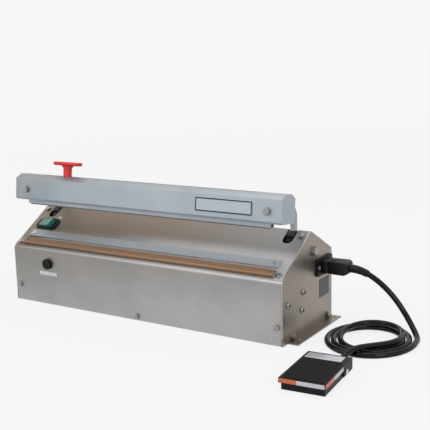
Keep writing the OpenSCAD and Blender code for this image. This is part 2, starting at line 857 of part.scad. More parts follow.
module switch_rocker() {
    w = rocker_w / 2;
    color("seagreen") at_switch() translate([0, 0, rocker_n]) rotate([0, -rock_a / 2, 0]) {
        translate([0, rocker_d / 2, 0]) facing_front() linear_extrude(rocker_d) polygon([
            [2 - w, -5], [w - 2, -5], [w, 0], [w, rocker_top - rocker_n], [0, rocker_top - rocker_n - 1.5],
            [-w, rocker_top - rocker_n], [-w, 0]
        ]);
        facing_back() translate([0, 0, -rocker_d / 2 - rocker_gap[1] - trunnion_l])
            cylinder(h = rocker_d + 2 * (rocker_gap[1] + trunnion_l), r = trunnion_r);
    }
}

// Timer: potentiometer behind the front panel and its knob
module at_timer() {
    translate([-timer_x, front_y, timer_z]) facing_front() children();
}
module timer_pot() {
    color("dimgray") at_timer() difference() {
        union() {
            translate([0, 0, -sheet_t - pot_t]) cylinder(h = pot_t, r = pot_r);
            translate([0, 0, -sheet_t - fuse]) cylinder(h = sheet_t + bush_out + fuse, r = bush_r);
            hex_head(nut_af, nut_t);
        }
        translate([0, 0, -sheet_t - pot_t / 2]) cylinder(h = 2 * pot_t, r = shaft_end_r + run_fit);
    }
}
module timer_knob() {
    face = timer_lift + timer_h;
    color("black") at_timer() {
        difference() {
            union() {
                translate([0, 0, timer_lift]) cylinder(h = timer_h - timer_bevel, r = timer_r);
                translate([0, 0, face - timer_bevel])
                    cylinder(h = timer_bevel, r1 = timer_r, r2 = timer_r - timer_bevel);
            }
            translate([0, 0, timer_lift - 1]) cylinder(h = timer_hollow[1] + 1, r = timer_hollow[0]);
            rotate(45) block(
                [-timer_line[0] / 2, -timer_r, face - timer_line[1]],
                [timer_line[0] / 2, timer_r, face + 1]
            );
        }
        translate([0, 0, -sheet_t - pot_t / 2 + 1])
            cylinder(h = pot_t / 2 + sheet_t + timer_lift + timer_hollow[1], r = shaft_end_r);
    }
}

// Inlet on the right end plate and the plug in it
module at_inlet() {
    translate([side_x, inlet_y, inlet_z]) children();
}
module at_inlet_screws() {
    at_inlet() for (y = [-inlet_screw_y, inlet_screw_y]) translate([inlet_t, y, 0]) facing_x() children();
}
module inlet_housing() {
    half_y = inlet_body[1] / 2;
    half_z = inlet_body[2] / 2;
    color("black") difference() {
        at_inlet() {
            facing_x() rounded_plate([inlet_h, inlet_w], 4, inlet_t);
            block([-inlet_body[0], -half_y, -half_z], [inlet_t, half_y, half_z]);
        }
        at_inlet() block(
            [inlet_t - socket[0], -socket[1] / 2, -socket[2] / 2],
            [20, socket[1] / 2, socket[2] / 2]
        );
        at_inlet_screws() translate([0, 0, -10]) cylinder(h = 11, r = 1.5 + hole_fit);
    }
}
module inlet_screws() {
    color("silver") at_inlet_screws() {
        translate([0, 0, -inlet_t - 4]) cylinder(h = inlet_t + 4 + fuse, r = 1.5);
        difference() {
            cylinder(h = 1.6, r = 3);
            block([-4, -0.4, 0.9], [4, 0.4, 2]);
        }
    }
}
module rating_plate() {
    color("gray") translate([side_x, each rating_at - [rating_size[0], rating_size[1]] / 2])
        cube([rating_size[2], rating_size[0], rating_size[1]]);
}
module lead_plug() {
    nose = socket - [2, 2 * socket_fit, 2 * socket_fit];
    collar_y = 13.5;
    collar_z = 10;
    body_y = 12.5;
    body_z = 9.5;
    bevel = 2.5;
    start = side_x + inlet_t + socket_fit;
    color("black") translate([0, inlet_y, inlet_z]) {
        block([start - nose[0], -nose[1] / 2, -nose[2] / 2], [start + fuse, nose[1] / 2, nose[2] / 2]);
        block([start, -collar_y, -collar_z], [start + plug_collar, collar_y, collar_z]);
        along_x(start + plug_collar - fuse, plug_end - start - plug_collar + fuse) polygon([
            [-body_y, bevel - body_z], [bevel - body_y, -body_z], [body_y - bevel, -body_z],
            [body_y, bevel - body_z], [body_y, body_z - bevel], [body_y - bevel, body_z],
            [bevel - body_y, body_z], [-body_y, body_z - bevel]
        ]);
    }
}
module plug_boot() {
    color("black") tube(drop_path, 0, boot_points, boot_r, 12);
}
module lead_drop() {
    color("black") tube(drop_path, boot_points, len(drop_path) - 1, [cord_r, cord_r], 10);
}
module lead_coil() {
    echo(least_coil_gap = coil_gap(96));
    color("black") tube(coil_path, 0, len(coil_path) - 1, [cord_r, cord_r], 6);
}
module lead_tail() {
    color("black") tube(tail_path, 0, len(tail_path) - 1, [cord_r, cord_r], 10);
}
module mains_gland() {
    color("black") translate([mains_x, rear_y, mains_z]) facing_back() difference() {
        union() {
            hex_head(22, 5);
            translate([0, 0, mains_l - 8]) cylinder(h = 8, r1 = mains_r + 1, r2 = mains_r - 1.5);
            translate([0, 0, -sheet_t - 6]) cylinder(h = sheet_t + 7, r = mains_r);
            translate([0, 0, -sheet_t - 5]) hex_head(20, 5);
        }
        translate([0, 0, -2 * mains_l]) cylinder(h = 4 * mains_l, r = mains_bore_r);
    }
}

// Drive: gear motor on the right end plate, crank, connecting rod
module gear_motor() {
    color("dimgray") difference() {
        union() {
            translate([gear_in, crank_y, crank_z]) facing_x() cylinder(h = gear_t, r = gear_r);
            block(
                [gear_in + 3, crank_y + gear_r - 9, motor_z - neck_r],
                [plate_in - 1, motor_y[0] + 1, motor_z + neck_r]
            );
            translate([plate_in - 1 - motor_r, motor_y[0], motor_z]) facing_back()
                cylinder(h = motor_y[1] - motor_y[0], r = motor_r);
        }
        translate([gear_in - 1, crank_y, crank_z]) facing_x()
            cylinder(h = crank_shaft_in + 4, r = crank_shaft_r + run_fit);
        at_motor_screws() translate([0, 0, -plate_t - motor_screw_l - 1])
            cylinder(h = motor_screw_l + 2, r = motor_screw_r + hole_fit);
    }
}
module motor_screws() {
    color("silver") at_motor_screws() {
        translate([0, 0, -plate_t - motor_screw_l])
            cylinder(h = plate_t + motor_screw_l + fuse, r = motor_screw_r);
        difference() {
            union() {
                cylinder(h = motor_head_t, r = motor_head_r);
                translate([0, 0, motor_head_t])
                    cylinder(h = motor_dome[1], r1 = motor_head_r, r2 = motor_head_r - motor_dome[0]);
            }
            translate([0, 0, motor_head_t + motor_dome[1] - motor_socket[1]])
                cylinder(h = motor_socket[1] + 1, r = motor_socket[0], $fn = 6);
        }
    }
}
function link_end(at) = at + crank_l * [cos(crank_a), sin(crank_a)];
module link_shape(from, to, r_from, r_to, width) {
    d = to - from;
    translate(from) circle(r_from);
    translate(to) circle(r_to);
    translate(from) rotate(atan2(d[1], d[0])) translate([0, -width / 2]) square([norm(d), width]);
}
module link_pin(at, start) {
    translate([rod_in - rod_gap, at[0], at[1]]) facing_x()
        cylinder(h = start - rod_in + rod_gap + fuse, r = link_r);
}
module crank() {
    at = [crank_y, crank_z];
    color("slategray") {
        along_x(crank_in, crank_t) link_shape(at, link_end(at), 10, eye_r - 0.5, 12);
        translate([crank_in + crank_t - fuse, crank_y, crank_z]) facing_x()
            cylinder(h = gear_in - crank_in - crank_t + crank_shaft_in, r = crank_shaft_r);
        link_pin(link_end(at), crank_in);
    }
}
module connecting_rod() {
    low = link_end([crank_y, crank_z]);
    high = link_end([pivot_y, pivot_z]);
    color("slategray") along_x(rod_in, rod_t) difference() {
        link_shape(low, high, eye_r, eye_r, rod_w);
        translate(low) circle(link_r + run_fit);
        translate(high) circle(link_r + loose);
    }
}

// Transformer and control board on the base plate
trafo_at = [-60, 12];
trafo = [76, 34, 64];
trafo_leg = 13;
module transformer_core() {
    color("dimgray") translate([each trafo_at, base_t]) difference() {
        block([-trafo[0] / 2, -trafo[1] / 2, 0], [trafo[0] / 2, trafo[1] / 2, trafo[2]]);
        for (x = [trafo_leg - trafo[0] / 2, trafo_leg]) block(
            [x, -trafo[1] / 2 - 1, trafo_leg],
            [x + trafo[0] / 2 - 2 * trafo_leg, trafo[1] / 2 + 1, trafo[2] - trafo_leg]
        );
    }
}
module transformer_winding() {
    inner = [trafo_leg + loose, trafo[1] / 2 + loose];
    outer = [trafo[0] / 2 - trafo_leg - loose, trafo[1] / 2 + 11];
    low = trafo_leg;
    high = trafo[2] - trafo_leg;
    color("orange") translate([each trafo_at, base_t]) difference() {
        block([-outer[0], -outer[1], low], [outer[0], outer[1], high]);
        block([-inner[0], -inner[1], low - 1], [inner[0], inner[1], high + 1]);
    }
}
board_at = [95, 14, 12];
board = [116, 82, 1.6];
// Corners of the board's parts as shares of its half sizes, with their heights
board_parts = [
    [-0.83, -0.73, -0.34, -0.2, 17], [-0.17, -0.73, 0.38, -0.29, 13], [0.52, -0.83, 0.86, 0.83, 11]
];
module control_board() {
    color("darkgreen") translate(board_at) {
        block([-board[0] / 2, -board[1] / 2, 0], [board[0] / 2, board[1] / 2, board[2]]);
        for (i = [-1, 1], j = [-1, 1])
            translate([i * (board[0] / 2 - 6), j * (board[1] / 2 - 6), base_t - board_at[2]])
            cylinder(h = board_at[2] - base_t + fuse, r = 3);
        for (p = board_parts) block(
            [p[0] * board[0] / 2, p[1] * board[1] / 2, board[2] - fuse],
            [p[2] * board[0] / 2, p[3] * board[1] / 2, board[2] + p[4]]
        );
        for (x = [-0.69, -0.31, 0.07]) translate([x * board[0] / 2, board[1] / 4, board[2] - fuse])
            cylinder(h = 20, r = 7);
    }
}

// Jaw: bar, caps, pressure strip, armature, arms and their shaft
module pivot_bolts() {
    color("gainsboro") both_sides() translate([side_x, pivot_y, pivot_z]) facing_x()
        hex_bolt(pivot_bolt_r, pivot_bolt_af, pivot_bolt_head, side_x - arm_in - 1);
}
module jaw_bar() {
    color("lightsteelblue") in_jaw() difference() {
        union() {
            along_x(-bar_half, 2 * bar_half) difference() {
                polygon(bar_section(0));
                polygon(bar_section(bar_wall));
            }
            for (u = [bar_wall - fuse, bar_d - bar_wall - rail_d])
                block([-bar_half, u, rail_w], [bar_half, u + rail_d + fuse, rail_w + rail_t]);
        }
        block(
            [-track_l / 2, stem_u - track_w / 2, bar_h - 2 * bar_wall],
            [track_l / 2, stem_u + track_w / 2, bar_h + 1]
        );
        block([-track_l / 2, blade_u - slit_w / 2, -1], [track_l / 2, blade_u + slit_w / 2, bar_wall + 1]);
        both_sides() translate([arm_x, -1, arm_w]) facing_back()
            cylinder(h = bar_d + 2, r = jaw_bolt_r + hole_fit);
        for (x = [-bar_half - 1, bar_half - cap_plug - 3]) block(
            [x, bar_wall, rail_w - 1],
            [x + cap_plug + 4, bar_d - bar_wall, rail_w + rail_t + 1]
        );
    }
}
module jaw_cap() {
    in_jaw() {
        along_x(bar_half, cap_t) polygon(bar_section(0));
        along_x(bar_half - cap_plug, cap_plug + fuse) polygon(bar_section(bar_wall + seam));
    }
}
module left_jaw_cap() {
    color("lightsteelblue") mirror([1, 0, 0]) jaw_cap();
}
module right_jaw_cap() {
    color("lightsteelblue") jaw_cap();
}
holder_wall = 1.5;
silicone_out = 1.6;
module strip_holder() {
    color("lightslategray") in_jaw() difference() {
        block(
            [-strip_l / 2, strip_u - strip_w / 2, silicone_out - strip_drop],
            [strip_l / 2, strip_u + strip_w / 2, 0]
        );
        block(
            [-strip_l / 2 - 1, strip_u - strip_w / 2 + holder_wall, -strip_drop],
            [strip_l / 2 + 1, strip_u + strip_w / 2 - holder_wall, -holder_wall]
        );
    }
}
module silicone_strip() {
    color("dimgray") in_jaw() block(
        [-strip_l / 2 + 3, strip_u - strip_w / 2 + holder_wall, -strip_drop],
        [strip_l / 2 - 3, strip_u + strip_w / 2 - holder_wall, -holder_wall]
    );
}
module armature_bar() {
    color("gray") in_jaw()
        block([-armature_l / 2, armature_u, -armature_drop], [armature_l / 2, armature_u + armature_w, 0]);
}
module jaw_bolts() {
    color("gainsboro") in_jaw() both_sides() translate([arm_x, 0, arm_w]) facing_front()
        hex_bolt(jaw_bolt_r, jaw_bolt_af, jaw_bolt_head, bar_d + pad_t - fuse);
}

// Right arm: a pad on the bar's back, a bend down to the slot, a hub and a sleeve on the pivot bolt
module arm() {
    foot = jaw_point(bar_d, arm_w);
    reach = (ridge_y - foot[0]) / cos(tilt);
    bend = 90 - tilt;
    run = arm_r * tan(bend / 2);
    post_top = foot[1] - reach * sin(tilt) - run;
    weld = 0.1;
    difference() {
        union() {
            in_jaw() block(
                [arm_x - pad_w / 2, bar_d, arm_w - pad_w / 2],
                [arm_x + pad_w / 2, bar_d + pad_t, arm_w + pad_w / 2]
            );
            in_jaw() block(
                [arm_in, bar_d + pad_t - fuse, arm_w - arm_d / 2],
                [arm_out, bar_d + reach - run + weld, arm_w + arm_d / 2]
            );
            translate([arm_in, ridge_y - arm_r, post_top]) rotate([90, 0, 90]) rotate_extrude(angle = bend)
                translate([arm_r - arm_d / 2, 0]) square([arm_d, arm_t]);
            block([arm_in, ridge_y - arm_d / 2, pivot_z], [arm_out, ridge_y + arm_d / 2, post_top + weld]);
            translate([arm_in, pivot_y, pivot_z]) facing_x() cylinder(h = arm_t, r = hub_r);
            translate([arm_out - fuse, pivot_y, pivot_z]) facing_x()
                cylinder(h = plate_in - arm_out - fuse, r = sleeve_r);
        }
        translate([arm_in - 1, pivot_y, pivot_z]) facing_x()
            cylinder(h = side_x - arm_in + 1, r = pivot_bolt_r + run_fit);
        in_jaw() translate([arm_x, bar_d - 1, arm_w]) facing_back()
            cylinder(h = pad_t + 1, r = jaw_bolt_r + hole_fit);
    }
}
module left_arm() {
    color("darkgray") mirror([1, 0, 0]) arm();
}
module right_arm() {
    at = [pivot_y, pivot_z];
    color("darkgray") {
        arm();
        along_x(arm_in, arm_t) difference() {
            link_shape(at, link_end(at), hub_r, eye_r - 0.5, 13);
            translate(at) circle(hub_r - 1);
        }
        link_pin(link_end(at), arm_in);
    }
}
module cross_shaft() {
    color("silver") translate([-arm_in, pivot_y, pivot_z]) facing_x() cylinder(h = 2 * arm_in, r = shaft_r);
}
// Black guards that fill the slots in front of the arms, each with a crown next to the arm
module guard_arc(outer, inner, end, width) {
    translate([arm_x - width / 2, pivot_y, pivot_z]) rotate([90, 0, 90]) rotate(guard_a[0])
        rotate_extrude(angle = end - guard_a[0]) translate([inner, 0]) square([outer - inner, width]);
}
module slot_guards() {
    inner = guard_r - guard_t;
    color("black") both_sides() difference() {
        union() {
            guard_arc(guard_r, inner, guard_a[1], guard_w);
            guard_arc(guard_crown_r, inner, guard_crown_a, guard_w);
            guard_arc(inner + fuse, hub_r + loose, guard_a[1], guard_web);
        }
        block(
            [arm_x - guard_w, ridge_y - arm_d / 2, pivot_z - guard_crown_r],
            [arm_x + guard_w, pivot_y + guard_crown_r, pivot_z + guard_crown_r + 1]
        );
    }
}
module name_plate() {
    color("white") in_jaw()
        translate([side_x - name_plate_in - name_plate_size[0], -name_plate_size[1], name_plate_w])
            cube(name_plate_size);
}

// Cutter: a carriage in the bar, a T knob sprung up in it, a plunger and the blade
module at_cutter() {
    in_jaw() translate([cutter_x, stem_u, 0]) children();
}
module cutter_carriage() {
    color("dimgray") at_cutter() difference() {
        union() {
            block(
                [-carriage_l / 2, -carriage_d / 2, rail_w + rail_t + seam],
                [carriage_l / 2, carriage_d / 2, carriage_top]
            );
            block(
                [-carriage_l / 2, -boss_d / 2, carriage_floor],
                [carriage_l / 2, boss_d / 2, carriage_top - 1]
            );
        }
        block(
            [-stem_w / 2 - loose, -stem_d / 2 - loose, carriage_floor + 2],
            [stem_w / 2 + loose, stem_d / 2 + loose, bar_h]
        );
        cylinder(h = carriage_top, r = plunger_r + run_fit);
    }
}
module cutter_knob() {
    under = knob_top - knob_t;
    end_r = knob_t / 2;
    color("red") at_cutter() {
        translate([0, knob_d / 2, 0]) facing_front() linear_extrude(knob_d) {
            translate([-knob_w / 2 + end_r, under]) square([knob_w - knob_t, knob_t]);
            for (x = [-1, 1]) translate([x * (knob_w / 2 - end_r), under + end_r]) circle(end_r);
        }
        translate([0, stem_d / 2, 0]) facing_front() linear_extrude(stem_d) {
            translate([-stem_w / 2, pin_top]) square([stem_w, under - pin_top + 1]);
            difference() {
                translate([-stem_w / 2 - knob_fillet, under - knob_fillet])
                    square([stem_w + 2 * knob_fillet, knob_fillet + fuse]);
                for (x = [-1, 1]) translate([x * (stem_w / 2 + knob_fillet), under - knob_fillet])
                    circle(knob_fillet);
            }
        }
    }
}
module cutter_plunger() {
    color("silver") at_cutter() {
        translate([0, 0, foot_w[1] - fuse]) cylinder(h = pin_top - foot_w[1] + fuse, r = plunger_r);
        block(
            [-blade_w / 2, -stem_d / 2, foot_w[0]],
            [blade_w / 2, blade_u - blade_t / 2 - stem_u, foot_w[1]]
        );
    }
}
module cutter_blade() {
    point = 5;
    color("lightgray") at_cutter() translate([0, blade_u + blade_t / 2 - stem_u, 0]) facing_front()
        linear_extrude(blade_t) polygon([
            [-blade_w / 2, blade_top], [blade_w / 2, blade_top], [blade_w / 2, blade_tip + point],
            [0, blade_tip], [-blade_w / 2, blade_tip + point]
        ]);
}
function helix(r, z0, z1, turns, wire) = [
    for (i = [0:8 * turns])
        let (a = 45 * i)
        [r * cos(a), r * sin(a), z0 + wire / 2 + (z1 - z0 - wire) * i / (8 * turns)]
];
module spring(r, z0, z1, turns, wire) {
    path = helix(r, z0, z1, turns, wire);
    tube(path, 0, len(path) - 1, [wire / 2, wire / 2], 6);
}
module cutter_spring() {
    color("silver") at_cutter()
        spring(
            plunger_r + spring_wire / 2 + 0.2, carriage_floor + 2 + 0.3, pin_top - 0.3,
            spring_turns, spring_wire - 0.2
        );
}

// Pedal: base on the floor, tread on a pin, mat, switch, spring and gland
module pedal_base() {
    half = tread_w / 2 - skirt_t - loose;
    front = base_front - tread_l / 2;
    rear = tread_l / 2 + loose;
    color("black") on_pedal() difference() {
        block([-half, front, 0], [half, rear, base_h]);
        block(
            [base_wall - half, front + base_wall, base_wall],
            [half - base_wall, rear - base_wall, base_h + 1]
        );
        translate([-half - 1, pin_y, pin_z]) facing_x() cylinder(h = 2 * half + 2, r = pin_r + run_fit);
        translate([gland_x, rear - base_wall - gland_in - seam, gland_z]) facing_back()
            cylinder(h = base_wall + gland_in + seam + 1, r = cord_r + hole_fit);
        block(
            [gland_x - cord_r - hole_fit, rear - base_wall - 1, gland_z],
            [gland_x + cord_r + hole_fit, rear + 1, base_h + 1]
        );
    }
}
module pedal_tread() {
    half = tread_w / 2;
    end = tread_l / 2;
    color("black") on_pedal() difference() {
        union() {
            block([-half, -end, plate_under], [half, end, tread_h]);
            block([-half, -end, tread_h - skirt_h], [half, skirt_t - end, tread_h]);
            for (x = [-half, half - skirt_t]) {
                block([x, -end, tread_h - skirt_h], [x + skirt_t, end, tread_h]);
                block([x, heel_y, heel_z], [x + skirt_t, end, tread_h]);
            }
        }
        translate([-half - 1, pin_y, pin_z]) facing_x() cylinder(h = tread_w + 2, r = pin_r + run_fit);
    }
}
module pedal_mat() {
    mat_front = mat_rim - tread_l / 2;
    color("dimgray") on_pedal() translate([0, (mat_rear + mat_front) / 2, tread_h])
        rounded_plate([tread_w - 2 * mat_rim, mat_rear - mat_front], mat_r, mat_t);
}
module pedal_pin() {
    half = tread_w / 2 + loose;
    color("silver") on_pedal() translate([0, pin_y, pin_z]) facing_x() {
        translate([0, 0, -half]) cylinder(h = 2 * half, r = pin_r);
        for (z = [-half - pin_head_t, half]) translate([0, 0, z]) cylinder(h = pin_head_t, r = pin_head_r);
    }
}
module pedal_switch() {
    color("gray") on_pedal() {
        block([each switch_low, base_wall], [each switch_high, base_h]);
        block([each plunger_low, base_h - fuse], [each plunger_high, plate_under - plunger_room]);
    }
}
module pedal_spring() {
    color("silver") on_pedal() translate([0, pedal_spring_y, 0]) spring(
        pedal_spring_r, base_wall + 0.2, plate_under - 0.2, pedal_spring_turns, pedal_spring_wire
    );
}
module pedal_gland() {
    color("black") on_pedal() translate([gland_x, tread_l / 2 + loose, gland_z]) facing_back() {
        cylinder(h = gland_l, r1 = gland_r, r2 = cord_r + 0.6);
        translate([0, 0, -base_wall - gland_in]) cylinder(h = base_wall + gland_in + fuse, r = cord_r);
    }
}

base_plate();
left_end_plate();
right_end_plate();
front_deck_cover();
rear_cover();
casing_bolts();
seal_bar();
heating_band();
seal_cover();
heater_terminals();
pole_strip();
pole_strip_screws();
magnet_cores();
magnet_coils();
switch_housing();
switch_rocker();
timer_pot();
timer_knob();
inlet_housing();
inlet_screws();
rating_plate();
mains_gland();
gear_motor();
motor_screws();
transformer_core();
transformer_winding();
control_board();
pivot_bolts();
jaw_bar();
left_jaw_cap();
right_jaw_cap();
strip_holder();
silicone_strip();
armature_bar();
jaw_bolts();
left_arm();
right_arm();
cross_shaft();
slot_guards();
name_plate();
crank();
connecting_rod();
cutter_carriage();
cutter_knob();
cutter_plunger();
cutter_blade();
cutter_spring();
lead_plug();
plug_boot();
lead_drop();
lead_coil();
lead_tail();
pedal_base();
pedal_tread();
pedal_mat();
pedal_pin();
pedal_switch();
pedal_spring();
pedal_gland();
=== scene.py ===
"""Dresses the impulse sealer: brushed casing, satin jaw bar, cloth-covered seal, T knob, lead and pedal."""

import json
import math

import bmesh
import bpy
from mathutils import Matrix, Vector

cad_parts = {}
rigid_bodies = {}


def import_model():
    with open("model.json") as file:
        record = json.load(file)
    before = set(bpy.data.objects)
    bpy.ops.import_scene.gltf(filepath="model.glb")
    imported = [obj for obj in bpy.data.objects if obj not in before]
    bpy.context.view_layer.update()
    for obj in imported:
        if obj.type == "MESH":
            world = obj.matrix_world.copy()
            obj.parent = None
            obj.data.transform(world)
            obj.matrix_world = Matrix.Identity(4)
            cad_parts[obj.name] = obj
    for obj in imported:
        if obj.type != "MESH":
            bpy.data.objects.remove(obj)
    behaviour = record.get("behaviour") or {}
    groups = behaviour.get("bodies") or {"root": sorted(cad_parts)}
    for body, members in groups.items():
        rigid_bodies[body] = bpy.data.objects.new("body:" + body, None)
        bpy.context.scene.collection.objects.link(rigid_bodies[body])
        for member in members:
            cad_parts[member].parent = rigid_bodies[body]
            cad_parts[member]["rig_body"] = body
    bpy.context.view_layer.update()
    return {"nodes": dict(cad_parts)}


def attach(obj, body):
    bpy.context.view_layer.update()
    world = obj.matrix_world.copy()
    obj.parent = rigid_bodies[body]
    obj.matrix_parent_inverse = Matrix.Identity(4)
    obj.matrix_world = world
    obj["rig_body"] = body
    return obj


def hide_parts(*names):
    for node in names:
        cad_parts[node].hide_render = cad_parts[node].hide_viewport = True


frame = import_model()
scene = bpy.context.scene
scene.view_settings.view_transform = "Standard"

MM = 0.001


# Frames of the casing's deck, the open jaw and the pedal, in millimetres

RIGHT, REARWARD, UP = Vector((1, 0, 0)), Vector((0, 1, 0)), Vector((0, 0, 1))
LEFT = -RIGHT
CASING_W = 500.0
FRONT_Y, FRONT_H = -79.0, 91.0
REAR_Y, RIDGE_Y, RIDGE_H, REAR_H = 79.0, 9.0, 146.0, 107.0
DECK_A = math.atan2(RIDGE_H - FRONT_H, RIDGE_Y - FRONT_Y)
DECK_L = math.hypot(RIDGE_H - FRONT_H, RIDGE_Y - FRONT_Y)
REAR_A = math.atan2(RIDGE_H - REAR_H, REAR_Y - RIDGE_Y)
PIVOT_Y, PIVOT_Z, OPEN_A = 17.5, 114.5, math.radians(38.8)
BAR_S, BAR_N = -0.5, 12.3
ARM_X, ARM_W = 223.0, 17.0
CUTTER_X, STEM_U = -152.0, 19.0
PEDAL_X, PEDAL_Y, PEDAL_TURN = 339.5, -159.8, math.radians(4.8)


def moved(x, y, z):
    return Matrix.Translation((x, y, z))


def turned(angle, axis):
    return Matrix.Rotation(angle, 4, axis)


DECK = moved(0, FRONT_Y, FRONT_H) @ turned(DECK_A, "X")
REAR_SLOPE = moved(0, RIDGE_Y, RIDGE_H) @ turned(-REAR_A, "X")
JAW = (moved(0, PIVOT_Y, PIVOT_Z) @ turned(-OPEN_A, "X") @ moved(0, -PIVOT_Y, -PIVOT_Z)
       @ DECK @ moved(0, BAR_S, BAR_N))
PEDAL = moved(PEDAL_X, PEDAL_Y, 0) @ turned(PEDAL_TURN, "Z")


# Camera, at the photograph's viewing angle

EYE = (777.2, -1068.0, 411.8)
YAW, PITCH, ROLL = math.radians(-32.566), math.radians(11.354), math.radians(-1.485)
SENSOR, LENS = 36.0, 71.97


def make_camera():
    data = bpy.data.cameras.new("camera")
    data.sensor_fit, data.sensor_width, data.lens = "HORIZONTAL", SENSOR, LENS
    camera = bpy.data.objects.new("camera", data)
    scene.collection.objects.link(camera)
    aim = turned(-YAW, "Z") @ turned(math.pi / 2 - PITCH, "X") @ turned(ROLL, "Z")
    camera.matrix_world = Matrix.Translation(Vector(EYE) * MM) @ aim
    scene.camera = camera


make_camera()


# Node and mesh helpers

def linear(code):
    """sRGB hex to a linear colour."""
    parts = [int(code[i:i + 2], 16) / 255 for i in (1, 3, 5)]
    return [p / 12.92 if p <= 0.04045 else ((p + 0.055) / 1.055) ** 2.4 for p in parts] + [1.0]


def add(tree, kind, links=None, **settings):
    """Adds a node, sets its properties, and fills its inputs with values or links."""
    node = tree.nodes.new(kind)
    for name, value in settings.items():
        setattr(node, name, value)
    for socket, source in (links or {}).items():
        if isinstance(source, bpy.types.NodeSocket):
            tree.links.new(source, node.inputs[socket])
        else:
            node.inputs[socket].default_value = source
    return node


def link_object(name, mesh, material=None):
    obj = bpy.data.objects.new(name, mesh)
    scene.collection.objects.link(obj)
    if material is not None:
        mesh.materials.clear()
        mesh.materials.append(material)
    return obj


def bake_modifiers(obj):
    """Turns an object with modifiers into a plain mesh."""
    graph = bpy.context.evaluated_depsgraph_get()
    mesh = bpy.data.meshes.new_from_object(obj.evaluated_get(graph), depsgraph=graph)
    obj.modifiers.clear()
    obj.data = mesh
    return obj


def soften(obj, width, segments=2, angle=32):
    """Rounds the sharp edges and keeps the flats flat."""
    bevel = obj.modifiers.new("edge", "BEVEL")
    bevel.width, bevel.segments = width * MM, segments
    bevel.limit_method, bevel.angle_limit = "ANGLE", math.radians(angle)
    bevel.miter_outer = "MITER_ARC"
    obj.data.shade_smooth()
    normals = obj.modifiers.new("flats", "WEIGHTED_NORMAL")
    normals.keep_sharp = True
    return bake_modifiers(obj)


def smooth_by_angle(obj, angle=40):
    obj.data.shade_smooth()
    obj.data.set_sharp_from_angle(angle=math.radians(angle))
    return obj


def piece(name, points, faces, material, place=Matrix()):
    """A mesh piece from points in millimetres, put in its place."""
    mesh = bpy.data.meshes.new(name)
    mesh.from_pydata([(place @ Vector(p)) * MM for p in points], [], faces)
    shape = bmesh.new()
    shape.from_mesh(mesh)
    bmesh.ops.recalc_face_normals(shape, faces=shape.faces)
    shape.to_mesh(mesh)
    shape.free()
    return link_object(name, mesh, material)


def loft(rings, closed=False):
    """Points and faces of a skin over rings of as many points each, with end caps or closed on itself."""
    count, total = len(rings[0]), len(rings)
    points = [p for r in rings for p in r]
    faces = []
    for i in range(total if closed else total - 1):
        a, b = i * count, (i + 1) % total * count
        faces += [(a + k, a + (k + 1) % count, b + (k + 1) % count, b + k) for k in range(count)]
    if not closed:
        faces += [tuple(reversed(range(count))), tuple(range(len(points) - count, len(points)))]
    return points, faces


def circle(sides):
    """Cosine and sine at even steps round a circle."""
    return [(math.cos(a), math.sin(a)) for a in (2 * math.pi * k / sides for k in range(sides))]


def rounded_outline(half_a, half_b, radius, steps=5):
    """Corner-rounded rectangle as a closed list of pairs."""
    radius = min(radius, half_a, half_b)
    out = []
    for quarter, (i, j) in enumerate(((1, 1), (-1, 1), (-1, -1), (1, -1))):
        for k in range(steps + 1):
            a = math.pi / 2 * (quarter + k / steps)
            out.append((i * (half_a - radius) + radius * math.cos(a),
                        j * (half_b - radius) + radius * math.sin(a)))
    return out


def slab(name, low, high, radius, material, place=Matrix(), edge=0.1, sharpest=0.05):
    """A thin plate with rounded corners, between two corners of its box, with softened edges."""
    centre = [(a + b) / 2 for a, b in zip(low, high)]
    half = [(b - a) / 2 for a, b in zip(low, high)]
    thin = half.index(min(half))
    a, b = [i for i in range(3) if i != thin]
    flank = half[thin] - min(edge, half[thin] / 2)
    rings = []
    for level, inset in ((-half[thin], edge), (-flank, 0), (flank, 0), (half[thin], edge)):
        ring = []
        for p, q in rounded_outline(half[a] - inset, half[b] - inset, max(radius - inset, sharpest)):
            point = [0, 0, 0]
            point[a], point[b], point[thin] = centre[a] + p, centre[b] + q, centre[thin] + level
            ring.append(point)
        rings.append(ring)
    return smooth_by_angle(piece(name, *loft(rings), material, place))


def border(name, low, high, width, material, place=Matrix()):
    """A flat rectangular ring on a face: a printed frame line."""
    thin = min(range(3), key=lambda i: high[i] - low[i])
    a, b = [i for i in range(3) if i != thin]
    rings = []
    for level, inset in ((low[thin], 0), (low[thin], width), (high[thin], width), (high[thin], 0)):
        ring = []
        for i, j in ((0, 0), (1, 0), (1, 1), (0, 1)):
            point = [0, 0, 0]
            point[a] = high[a] - inset if i else low[a] + inset
            point[b] = high[b] - inset if j else low[b] + inset
            point[thin] = level
            ring.append(point)
        rings.append(ring)
    return piece(name, *loft(rings, closed=True), material, place)


def spline(points, per_span):
    """Smooth points through a route, even for each span."""
    pts = [Vector(p) for p in points]
    pts = [2 * pts[0] - pts[1]] + pts + [2 * pts[-1] - pts[-2]]
    out = []
    for a, b, c, d in zip(pts, pts[1:], pts[2:], pts[3:]):
        for k in range(per_span):
            t = k / per_span
            out.append(0.5 * (2 * b + (c - a) * t + (2 * a - 5 * b + 4 * c - d) * t ** 2
                              + (3 * b - a - 3 * c + d) * t ** 3))
    return out + [pts[-2]]


# Materials. Patterns lie on Object coordinates in metres; a size in mm becomes a scale of 1000 / size.

PATTERN_LOW, PATTERN_HIGH = 0.3, 0.7
BRUSH_LENGTH, SHEET_CLOUD, WAVE_PERIOD = 40, 70.0, math.pi / 10


def opened(material):
    """A material's tree, its shader and its object coordinates."""
    tree = material.node_tree
    coords = next(n for n in tree.nodes if n.type == "TEX_COORD").outputs["Object"]
    return tree, tree.nodes["Principled BSDF"], coords


